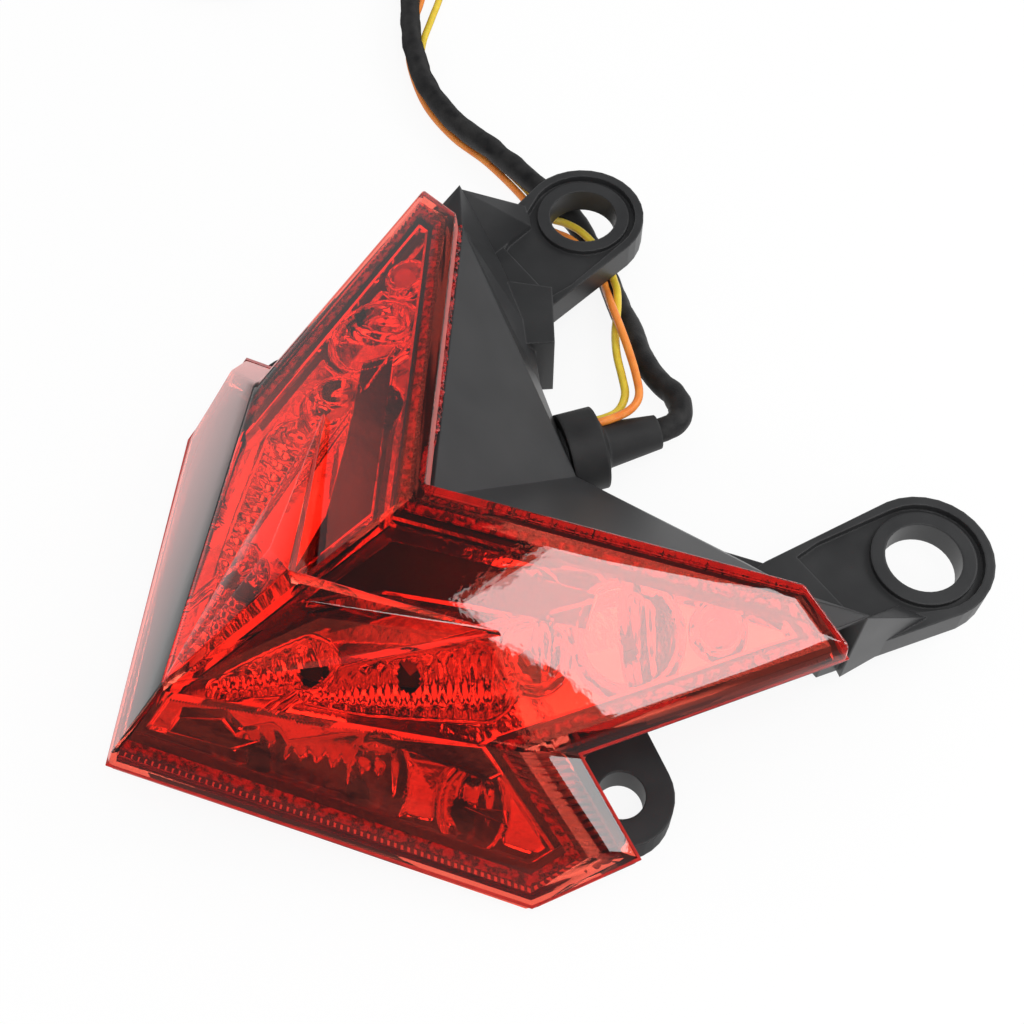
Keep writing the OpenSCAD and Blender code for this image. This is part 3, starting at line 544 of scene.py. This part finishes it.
mirror_coat, tree, shader = new_material("mirror_coat")
set_values(shader, Metallic=1.0, Roughness=0.07)
texture = clouded(tree, shader, 1400, 220, 0.25, 0.75, (0.84, 0.84, 0.86), (0.95, 0.95, 0.96))
tree.links.new(level(tree, texture.outputs["Clouds"], 0.03, 0.09), shader.inputs["Roughness"])
tree.links.new(bump(tree, texture.outputs["Clouds"], 0.0001), shader.inputs["Normal"])


def on_wing(x, y):
    return face_z(x, y) < band_z(x, y)


mirror_field("mirror_right", lambda x, y: x > 0.2 and on_wing(x, y), face_z, wing_mirror_depth, wing_scoops,
             wing_ridges, wing_rings, lamp_holes, "reflector_right")
mirror_field("mirror_left", lambda x, y: x < -0.2 and on_wing(x, y), face_z, wing_mirror_depth, wing_scoops,
             wing_ridges, wing_rings, lamp_holes, "reflector_left")
mirror_field("mirror_keel", lambda x, y: not on_wing(x, y), band_z, band_mirror_depth, band_scoops,
             band_ridges, band_rings, band_holes, "reflector_keel")


# Bezel. A gloss black trim plate between the reflectors and the lens. Its blank
# panels hide the board edges, and a bright rim runs round each panel and round
# the whole field.
def loop_faces(first, n, loops):
    faces = []
    for r in range(loops - 1):
        low, high = first + r * n, first + (r + 1) * n
        faces += [(low + i, low + (i + 1) % n, high + (i + 1) % n, high + i) for i in range(n)]
    return faces


def strip_piece(name, loops, material):
    verts = [Vector(p) * MM for loop in loops for p in loop]
    return new_piece(name, verts, loop_faces(0, len(loops[0]), len(loops)), material, smooth=False)


bezel_black = moulded("bezel_black", (0.004, 0.004, 0.004), (0.008, 0.008, 0.008), (0.02, 0.02, 0.02), 0.2,
                      edge=0.0002)


def rise_loop(d, drop):
    return [(p.x, p.y, skin_z(p.x, p.y) - drop) for p in inset(lens_plan, d)]


strip_piece("field_rim", [rise_loop(*p) for p in ((5.6, 6.0), (5.75, 3.7), (6.3, 3.9), (6.6, 6.2))],
            mirror_coat)
strip_piece("black_band", [rise_loop(*p) for p in ((3.9, 3.3), (4.6, 4.4), (5.7, 4.4))],
            bezel_black)
blank_panels = [
    (face_z, 4.0, [(2.8, -40.5), (3.4, -21.5), (33.5, 3.2), (36.8, -2.2), (22.0, -15.5), (10.0, -27.5)]),
    (band_z, 4.2, [(4.1, -73.0), (4.2, -70.2), (9.2, -64.6), (12.2, -64.0), (15.0, -61.4), (12.6, -65.6)]),
    (band_z, 4.2, [(28.6, -43.8), (42.1, -29.2), (46.5, -28.6), (45.8, -30.4)]),
    (band_z, 4.6, [(46.6, -35.5), (50.9, -30.8), (52.4, -31.5)]),
]
panel_verts, panel_faces, rim_verts, rim_faces = [], [], [], []
for surface, drop, outline in blank_panels:
    for side in (1, -1):
        middle = sum((Vector(p) for p in outline), Vector((0, 0))) / len(outline)
        first = len(panel_verts)
        panel_verts += [Vector((side * x, y, surface(x, y) - drop)) * MM for x, y in outline]
        panel_faces.append(list(range(first, first + len(outline))))
        start = len(rim_verts)
        for grow, lift in ((0.0, -0.2), (0.25, 0.35), (0.75, 0.35), (1.0, -1.2)):
            for x, y in outline:
                away = (Vector((x, y)) - middle).normalized() * grow
                rim_verts.append(Vector((side * (x + away.x), y + away.y, surface(x, y) - drop + lift)) * MM)
        rim_faces += loop_faces(start, len(outline), 4)
panels = new_piece("blank_panels", panel_verts, panel_faces, bezel_black, smooth=False)
new_piece("panel_rims", rim_verts, rim_faces, mirror_coat, smooth=False)
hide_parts("bezel")


# Bead. A line of sealant squeezed out between the lens and the housing when the two
# were bonded, so it is uneven and glossy.
bead_seal, tree, shader = new_material("bead_seal")
set_values(shader, Roughness=0.15, Specular_IOR_Level=0.8)
texture = clouded(tree, shader, 1100, 700, 0.42, 0.58, (0.02, 0.002, 0.002), (0.45, 0.02, 0.02))
tree.links.new(bump(tree, texture.outputs["Height"], 0.0006), shader.inputs["Normal"])
dress("lens_bead", bead_seal)
bead_route = [(56.2, 35.3, 37.4), (42, 23.6, 38.9), (28, 12.1, 40.4), (14, 0.6, 41.9), (0, -10.9, 43.3)]
bead_route += [(-x, y, z) for x, y, z in reversed(bead_route[:-1])]
bead_line = smooth_path(bead_route, 90)
bead_sides = 8


def bead_radius(spot, out, run):
    return (0.55 + 0.5 * noise.noise(spot * 1900 + out * 1.4)) * MM


bead_verts = tube_verts(bead_line, bead_sides, bead_radius)
new_piece("bead_strand", bead_verts, tube_faces(len(bead_line), bead_sides), bead_seal, smooth=False)


# Lens. Moulded in clear red acrylic, polished outside, with a raised arrow on the
# middle and a sloped border along the valley. Its skirt drops over the housing's
# rim and is bonded there.
lens_points = {
    "valley": (0, -11.5, 48.55), "valley_low": (0, -11, 43),
    "wing_in": (56, 34.5, face_z(56, 34.5) - 0.5), "wing_in_low": (56, 35, 37.2),
    "wing_out": (69.5, 34.5, face_z(69.5, 34.5) - 0.3), "wing_out_low": (69.9, 35, 33.1),
    "notch": (50.2, -21.5, face_z(50.2, -21.5)), "notch_low": (54.1, -14.9, 27.55),
    "fin": (69.1, -19.4, band_z(69.1, -19.4)), "fin_low": (72.4, -14, 10.6),
    "foot": (65.4, -34.4, band_z(65.4, -34.4)), "foot_low": (66, -34.8, 2.7),
    "keel": (0, -86, band_z(0, -86)), "keel_low": (0, -86.5, 18),
    "root": (0, -70.5, face_z(0, -70.5)),
    "step_valley": (0, -18.2, face_z(0, -18.2)), "step_a": (31, 7.2, face_z(31, 7.2)),
    "step_b": (52.4, 26.6, face_z(52.4, 26.6)), "step_c": (57, 31, face_z(57, 31)),
    "step_d": (64.2, 31, face_z(64.2, 31)),
    "edge_a": (27.68, 11.24, face_z(27.68, 11.24) - 0.48),
    "edge_b": (49.97, 29.55, face_z(49.97, 29.55) - 0.48),
    "crown_base": (0, -41.5, face_z(0, -41.5)), "crown": (0, -41.5, face_z(0, -41.5) + 5.6),
    "shoulder": (7, -41.5, face_z(7, -41.5) + 5.6),
    "tip_base": (30.3, -15.5, face_z(30.3, -15.5)), "tip": (29.9, -15.9, face_z(29.9, -15.9) + 1.7),
    "bend_base": (16.5, -42.6, face_z(16.5, -42.6)), "bend": (16.0, -41.9, face_z(16.0, -41.9) + 1.1),
}
lens_right = [
    ("step_valley", "step_a", "step_b", "step_c", "step_d", "wing_out", "notch", "root", "bend_base",
     "tip_base", "crown_base"),
    ("valley", "edge_a", "step_a", "step_valley"),
    ("edge_a", "edge_b", "step_b", "step_a"), ("edge_b", "wing_in", "step_c", "step_b"),
    ("wing_in", "wing_out", "step_d", "step_c"), ("root", "bend", "bend_base"),
    ("bend_base", "bend", "tip", "tip_base"), ("tip_base", "tip", "crown", "crown_base"),
    ("root", "shoulder", "bend"), ("bend", "shoulder", "tip"), ("shoulder", "crown", "tip"),
    ("root", "crown", "shoulder"), ("root", "notch", "fin", "foot", "keel"),
    ("valley", "valley_low", "wing_in_low", "wing_in", "edge_b", "edge_a"),
    ("wing_in", "wing_in_low", "wing_out_low", "wing_out"),
    ("wing_out", "wing_out_low", "notch_low", "notch"), ("notch", "notch_low", "fin_low", "fin"),
    ("fin", "fin_low", "foot_low", "foot"), ("foot", "foot_low", "keel_low", "keel"),
]
# How far each edge is rounded, in mm.
lens_rounding = {
    ("wing_out", "notch"): 2.0, ("foot", "keel"): 1.6, ("fin", "foot"): 1.2, ("notch", "fin"): 0.9,
    ("wing_in", "wing_out"): 1.0, ("valley", "edge_a"): 0.5, ("edge_a", "edge_b"): 0.5,
    ("edge_b", "wing_in"): 0.5, ("root", "notch"): 0.7, ("keel", "root"): 0.8,
    ("step_valley", "step_a"): 0.3, ("step_a", "step_b"): 0.3, ("step_b", "step_c"): 0.3,
    ("step_c", "step_d"): 0.3, ("step_d", "wing_out"): 0.3, ("shoulder", "tip"): 0.25,
    ("crown", "tip"): 0.25, ("crown", "shoulder"): 0.2, ("root", "crown"): 0.25, ("root", "shoulder"): 0.25,
    ("root", "bend"): 0.2, ("bend", "tip"): 0.25, ("wing_in", "wing_in_low"): 1.0,
    ("wing_out", "wing_out_low"): 1.2, ("notch", "notch_low"): 1.0, ("fin", "fin_low"): 1.2,
    ("foot", "foot_low"): 1.2, ("keel", "keel_low"): 1.5, ("valley", "valley_low"): 0.6,
    ("tip", "tip_base"): 0.5,
}
most_round = 2.0


def both_sides(points, faces):
    verts, place = [], {}
    for name, (x, y, z) in points.items():
        place[name, 1] = len(verts)
        verts.append(Vector((x, y, z)) * MM)
        if x == 0:
            place[name, -1] = place[name, 1]
        else:
            place[name, -1] = len(verts)
            verts.append(Vector((-x, y, z)) * MM)
    polygons = [[place[name, 1] for name in face] for face in faces]
    polygons += [[place[name, -1] for name in reversed(face)] for face in faces]
    return verts, polygons, place


def low_outline():
    """The foot of the lens skirt, all the way round."""
    names = ["valley_low", "wing_in_low", "wing_out_low", "notch_low", "fin_low", "foot_low", "keel_low"]
    low = [lens_points[name] for name in names]
    return low + [(-x, y, z) for x, y, z in reversed(low[1:6])]


def make_lens(material):
    verts, polygons, place = both_sides(lens_points, lens_right)
    shell = bmesh.new()
    corner = [shell.verts.new(v) for v in verts]
    for polygon in polygons:
        shell.faces.new([corner[i] for i in polygon])
    bmesh.ops.recalc_face_normals(shell, faces=shell.faces)
    weight = shell.edges.layers.float.new("bevel_weight_edge")
    for (a, b), width in lens_rounding.items():
        for side in (1, -1):
            edge = shell.edges.get((corner[place[a, side]], corner[place[b, side]]))
            if edge:
                edge[weight] = width / most_round
    draft = bpy.data.meshes.new("lens_draft")
    shell.to_mesh(draft)
    shell.free()
    draft_object = bpy.data.objects.new("lens_draft", draft)
    bpy.context.scene.collection.objects.link(draft_object)
    rounding = draft_object.modifiers.new("rounding", "BEVEL")
    rounding.limit_method = "WEIGHT"
    rounding.width = most_round * MM
    rounding.segments = 4
    rounding.use_clamp_overlap = False
    bpy.context.view_layer.update()
    rounded = draft_object.evaluated_get(bpy.context.evaluated_depsgraph_get()).to_mesh()
    lens_mesh = bmesh.new()
    lens_mesh.from_mesh(rounded)
    bpy.data.objects.remove(draft_object)
    outer_edge = [e for e in lens_mesh.edges if e.is_boundary]
    # The inner skin: the same faces moved in by the wall, without the arrow.
    wall, drop = 2.2, 2.53
    low = low_outline()
    low_in = inset([(x, y) for x, y, z in low], wall)
    top_in = inset(lens_plan, wall)
    top = [lens_mesh.verts.new(Vector((p.x, p.y, skin_z(p.x, p.y) - drop)) * MM) for p in top_in]
    top.append(lens_mesh.verts.new(Vector((0, root_y, skin_z(0, root_y) - drop)) * MM))
    bottom = [lens_mesh.verts.new(Vector((p.x, p.y, low[i][2])) * MM) for i, p in enumerate(low_in)]
    for face in ([0, 1, 2, 3, 12], [12, 3, 4, 5, 6], [12, 9, 10, 11, 0], [6, 7, 8, 9, 12]):
        lens_mesh.faces.new([top[i] for i in face])
    for i in range(12):
        j = (i + 1) % 12
        lens_mesh.faces.new([top[i], bottom[i], bottom[j], top[j]])
    inner_edge = [lens_mesh.edges.get((bottom[i], bottom[(i + 1) % 12])) for i in range(12)]
    bmesh.ops.bridge_loops(lens_mesh, edges=outer_edge + inner_edge)
    bmesh.ops.triangulate(lens_mesh, faces=[f for f in lens_mesh.faces if len(f.verts) > 4])
    bmesh.ops.recalc_face_normals(lens_mesh, faces=lens_mesh.faces)
    mesh = bpy.data.meshes.new("lens_shell")
    lens_mesh.to_mesh(mesh)
    lens_mesh.free()
    mesh.polygons.foreach_set("use_smooth", [True] * len(mesh.polygons))
    mesh.set_sharp_from_angle(angle=math.radians(20))
    mesh.materials.append(material)
    piece = bpy.data.objects.new("lens_shell", mesh)
    bpy.context.scene.collection.objects.link(piece)
    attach(piece, "root")
    return piece


red_acrylic, tree, shader = new_material("red_acrylic")
set_values(shader, IOR=1.49, Transmission_Weight=1.0, Roughness=0.015, Coat_Weight=1.0, Coat_Roughness=0.01)
texture = clouded(tree, shader, 2000, 60, 0.3, 0.7, (0.93, 0.1, 0.06), (0.95, 0.14, 0.085))
tree.links.new(bump(tree, texture.outputs["Clouds"], 0.00012), shader.inputs["Normal"])
# A pale diffuse sheen is painted on faces that are seen nearly edge-on: a painted reflection of the pale
# floor there. Only camera rays meet it.
painted_sheen = tree.nodes.new("ShaderNodeBsdfDiffuse")
painted_sheen.inputs["Color"].default_value = (0.95, 0.3, 0.27, 1)
clear = tree.nodes.new("ShaderNodeBsdfTransparent")
clear.inputs["Color"].default_value = (0.97, 0.36, 0.28, 1)
ray = tree.nodes.new("ShaderNodeLightPath")
facing = tree.nodes.new("ShaderNodeLayerWeight")
edge_on = tree.nodes.new("ShaderNodeMapRange")
set_values(edge_on, From_Min=0.62, From_Max=0.84, To_Min=0.0, To_Max=0.5)
tree.links.new(facing.outputs["Facing"], edge_on.inputs["Value"])
outermost = put_math(tree, "MULTIPLY", edge_on.outputs["Result"], ray.outputs["Is Camera Ray"])
lens_with_painted_sheen = tree.nodes.new("ShaderNodeMixShader")
tree.links.new(outermost, lens_with_painted_sheen.inputs["Fac"])
tree.links.new(shader.outputs["BSDF"], lens_with_painted_sheen.inputs[1])
tree.links.new(painted_sheen.outputs["BSDF"], lens_with_painted_sheen.inputs[2])
choose = tree.nodes.new("ShaderNodeMixShader")
tree.links.new(ray.outputs["Is Shadow Ray"], choose.inputs["Fac"])
tree.links.new(lens_with_painted_sheen.outputs["Shader"], choose.inputs[1])
tree.links.new(clear.outputs["BSDF"], choose.inputs[2])
tree.links.new(choose.outputs["Shader"], tree.nodes["Material Output"].inputs["Surface"])
lens_shell = make_lens(red_acrylic)
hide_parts("lens")


# Prism ribs. A row of small prisms is moulded inside the lens all round its border,
# to send stray light sideways. They run across the edge, close together. Every
# other facet gets a dark opaque red instead of the clear red, as painted shade on
# the side of each prism that faces away from the light.
rib_red, tree, shader = new_material("rib_red")
set_values(shader, IOR=1.2, Transmission_Weight=1.0)
texture = clouded(tree, shader, 1500, 500, 0.3, 0.7, (0.42, 0.02, 0.014), (0.6, 0.04, 0.03))
tree.links.new(level(tree, texture.outputs["Clouds"], 0.15, 0.35), shader.inputs["Roughness"])
tree.links.new(bump(tree, texture.outputs["Height"], 0.0001), shader.inputs["Normal"])
# A dark opaque red, used as painted shade on every other prism facet.
rib_shade = moulded("rib_shade", (0.05, 0.002, 0.002), (0.1, 0.004, 0.003), (0.2, 0.01, 0.008), 0.3,
                    edge=0.0001, broad=400)
flange_red = moulded("flange_red", (0.4, 0.012, 0.008), (0.6, 0.02, 0.014), (0.75, 0.04, 0.03), 0.3,
                     edge=0.0001, broad=400)
rib_pitch = 1.3


def rib_row(name, edges, slant=0.0):
    verts, faces = [], []
    top = inset(lens_plan, 2.5)
    field = inset(lens_plan, 4.1)
    low = low_outline()
    foot_loop = inset([(x, y) for x, y, z in low], 2.5)
    for i in edges:
        j = (i + 1) % 12
        length = (top[j] - top[i]).length
        teeth = int(length / rib_pitch)
        start = len(verts)
        for k in range(2 * teeth + 1):
            t = k / (2 * teeth)
            s = min(1.0, max(0.0, t + slant / length))
            lift = 0.45 * (k % 2)
            inner = field[i].lerp(field[j], s)
            edge = top[i].lerp(top[j], t)
            foot = foot_loop[i].lerp(foot_loop[j], t)
            foot_height = low[i][2] + (low[j][2] - low[i][2]) * t
            pull = (inner - edge).normalized() * lift
            verts.append(Vector((inner.x, inner.y, skin_z(inner.x, inner.y) - 2.75 - lift)) * MM)
            verts.append(Vector((edge.x + pull.x, edge.y + pull.y, skin_z(edge.x, edge.y) - 2.8 - lift)) * MM)
            verts.append(Vector((foot.x + pull.x, foot.y + pull.y, foot_height + 0.6)) * MM)
        for k in range(2 * teeth):
            a = start + 3 * k
            faces.append((a, a + 1, a + 4, a + 3))
            faces.append((a + 1, a + 2, a + 5, a + 4))
    piece = new_piece(name, verts, faces, rib_red, smooth=False)
    piece.data.materials.append(rib_shade)
    # Faces alternate in pairs between the clear red and the dark material: painted shade on each prism's
    # shaded facet.
    for face in piece.data.polygons:
        face.material_index = face.index // 2 % 2


rib_row("prism_ribs", [1, 2, 3, 4, 5, 6, 7, 8, 9, 10])
rib_row("valley_ribs", [0, 11])


def foot_ring(d, lift):
    low = low_outline()
    return [(p.x, p.y, low[i][2] + lift) for i, p in enumerate(inset([(x, y) for x, y, z in low], d))]


# A small lip runs round the foot of the skirt.
lip = [foot_ring(0.5, 0.0), foot_ring(0.05, 0.1), foot_ring(0.03, 0.6), foot_ring(0.5, 0.9)]
strip_piece("lens_lip", lip, flange_red)


# Boot. A soft rubber cap is pulled over the cable spigot on the back wall. It seals
# the leads and ends in a narrow neck round the sleeve.
boot_rubber = moulded("boot_rubber", (0.012, 0.012, 0.013), (0.024, 0.024, 0.025), (0.06, 0.06, 0.06), 0.58,
                      edge=0.0009, fine=2600, broad=150, depth=0.00004)
dress("boot", boot_rubber)


# Studio. A pale floor under the lamp, a soft box above its right wing, one low on
# the right, one behind, and pale light from all round. It is darker at the front
# right, so the polished lens stays clear there. None of it is part of the lamp.
def choose_colour(tree, factor, first, second):
    node = tree.nodes.new("ShaderNodeMix")
    node.data_type = "RGBA"
    tree.links.new(factor, node.inputs["Factor"])
    for name, value in (("A", first), ("B", second)):
        if isinstance(value, float):
            node.inputs[name].default_value = (value, value, value, 1)
        else:
            tree.links.new(value, node.inputs[name])
    return node.outputs["Result"]


def toward_front_right(tree, source):
    split = tree.nodes.new("ShaderNodeSeparateXYZ")
    tree.links.new(source, split.inputs["Vector"])
    return split, put_math(tree, "SUBTRACT", put_math(tree, "MULTIPLY", split.outputs["X"], 0.8),
                           put_math(tree, "MULTIPLY", split.outputs["Y"], 0.6))


floor_paint, tree, shader = new_material("floor_paint")
set_values(shader, Base_Color=(0.93, 0.93, 0.93, 1), Roughness=0.9, Specular_IOR_Level=0.1)
glow = tree.nodes.new("ShaderNodeEmission")
ray = tree.nodes.new("ShaderNodeLightPath")
place = tree.nodes.new("ShaderNodeTexCoord")
front_right = toward_front_right(tree, place.outputs["Object"])[1]
# Mirrored rays meet a floor that is bright near the lamp and dark further off.
distance = tree.nodes.new("ShaderNodeVectorMath")
distance.operation = "LENGTH"
tree.links.new(place.outputs["Object"], distance.inputs[0])
near = ramp(tree, distance.outputs["Value"], 0.12, 0.16, (0.95, 0.95, 0.95), (0.12, 0.12, 0.12))
front_mask = ramp(tree, put_math(tree, "ADD", front_right, 0.5), 0.54, 0.565, (0, 0, 0), (1, 1, 1))
falling = choose_colour(tree, front_mask, near, 0.1)
# Rays that come out through the lens meet bright and dark patches, as in a full room.
patches = tree.nodes.new("ShaderNodeTexNoise")
set_values(patches, Scale=9.0, Detail=1)
tree.links.new(place.outputs["Object"], patches.inputs["Vector"])
patchy = ramp(tree, patches.outputs["Fac"], 0.43, 0.54, (0.06, 0.06, 0.06), (1.2, 1.2, 1.2))
falling = choose_colour(tree, ray.outputs["Is Glossy Ray"], 1.0, falling)
tree.links.new(choose_colour(tree, ray.outputs["Is Transmission Ray"], falling, patchy), glow.inputs["Color"])
seen = put_math(tree, "ADD", ray.outputs["Is Camera Ray"], ray.outputs["Is Glossy Ray"])
seen = put_math(tree, "ADD", seen, ray.outputs["Is Transmission Ray"], clamp=True)
choose = tree.nodes.new("ShaderNodeMixShader")
tree.links.new(put_math(tree, "MULTIPLY", seen, 0.9), choose.inputs["Fac"])
tree.links.new(shader.outputs["BSDF"], choose.inputs[1])
tree.links.new(glow.outputs["Emission"], choose.inputs[2])
tree.links.new(choose.outputs["Shader"], tree.nodes["Material Output"].inputs["Surface"])
floor_mesh = bpy.data.meshes.new("floor")
floor_corners = [(x, y, -0.0002) for x, y in ((-6, -6), (6, -6), (6, 6), (-6, 6))]
floor_mesh.from_pydata(floor_corners, [], [(0, 1, 2, 3)])
floor_mesh.materials.append(floor_paint)
floor = bpy.data.objects.new("floor", floor_mesh)
bpy.context.scene.collection.objects.link(floor)


def soft_box(name, place, target, wide, high, power):
    lamp = bpy.data.lights.new(name, "AREA")
    lamp.shape = "RECTANGLE"
    lamp.size = wide
    lamp.size_y = high
    lamp.energy = power
    box = bpy.data.objects.new(name, lamp)
    box.location = place
    box.rotation_euler = (Vector(target) - Vector(place)).to_track_quat("-Z", "Y").to_euler()
    bpy.context.scene.collection.objects.link(box)


soft_box("top_box", (0.287, -0.007, 0.70), (0.287, -0.007, 0), 0.30, 0.30, 1.35)
soft_box("right_box", (0.78, 0.25, 0.275), (0.06, -0.02, 0.025), 0.3, 0.26, 1.0)
soft_box("back_box", (0.2, 0.75, 0.6), (0, 0, 0.02), 0.5, 0.35, 1.8)

world = bpy.data.worlds.new("studio")
world.use_nodes = True
bpy.context.scene.world = world
tree = world.node_tree
ray = tree.nodes.new("ShaderNodeLightPath")
place = tree.nodes.new("ShaderNodeTexCoord")
split, front_right = toward_front_right(tree, place.outputs["Generated"])
sky = ramp(tree, split.outputs["Z"], 0.15, 0.6, (0.85, 0.85, 0.85), (0.12, 0.12, 0.12))
dark = ramp(tree, put_math(tree, "ADD", front_right, 0.5), 0.1, 0.8, (0, 0, 0), (1, 1, 1))
outside = choose_colour(tree, dark, sky, 0.1)
# The same patches stand all round, and only rays from inside the lens meet them.
screens = tree.nodes.new("ShaderNodeTexNoise")
set_values(screens, Scale=2.4, Detail=1)
shifted = tree.nodes.new("ShaderNodeVectorMath")
shifted.inputs[1].default_value = (0.6, 5.2, 2.3)
tree.links.new(place.outputs["Generated"], shifted.inputs[0])
tree.links.new(shifted.outputs["Vector"], screens.inputs["Vector"])
within = ramp(tree, screens.outputs["Fac"], 0.43, 0.52, (0.03, 0.03, 0.03), (2.0, 2.0, 2.0))
picked = choose_colour(tree, ray.outputs["Is Glossy Ray"], 0.75, outside)
picked = choose_colour(tree, ray.outputs["Is Transmission Ray"], picked, within)
picked = choose_colour(tree, ray.outputs["Is Camera Ray"], picked, 1.0)
tree.links.new(picked, tree.nodes["Background"].inputs["Color"])

bpy.context.scene.view_settings.view_transform = "Standard"
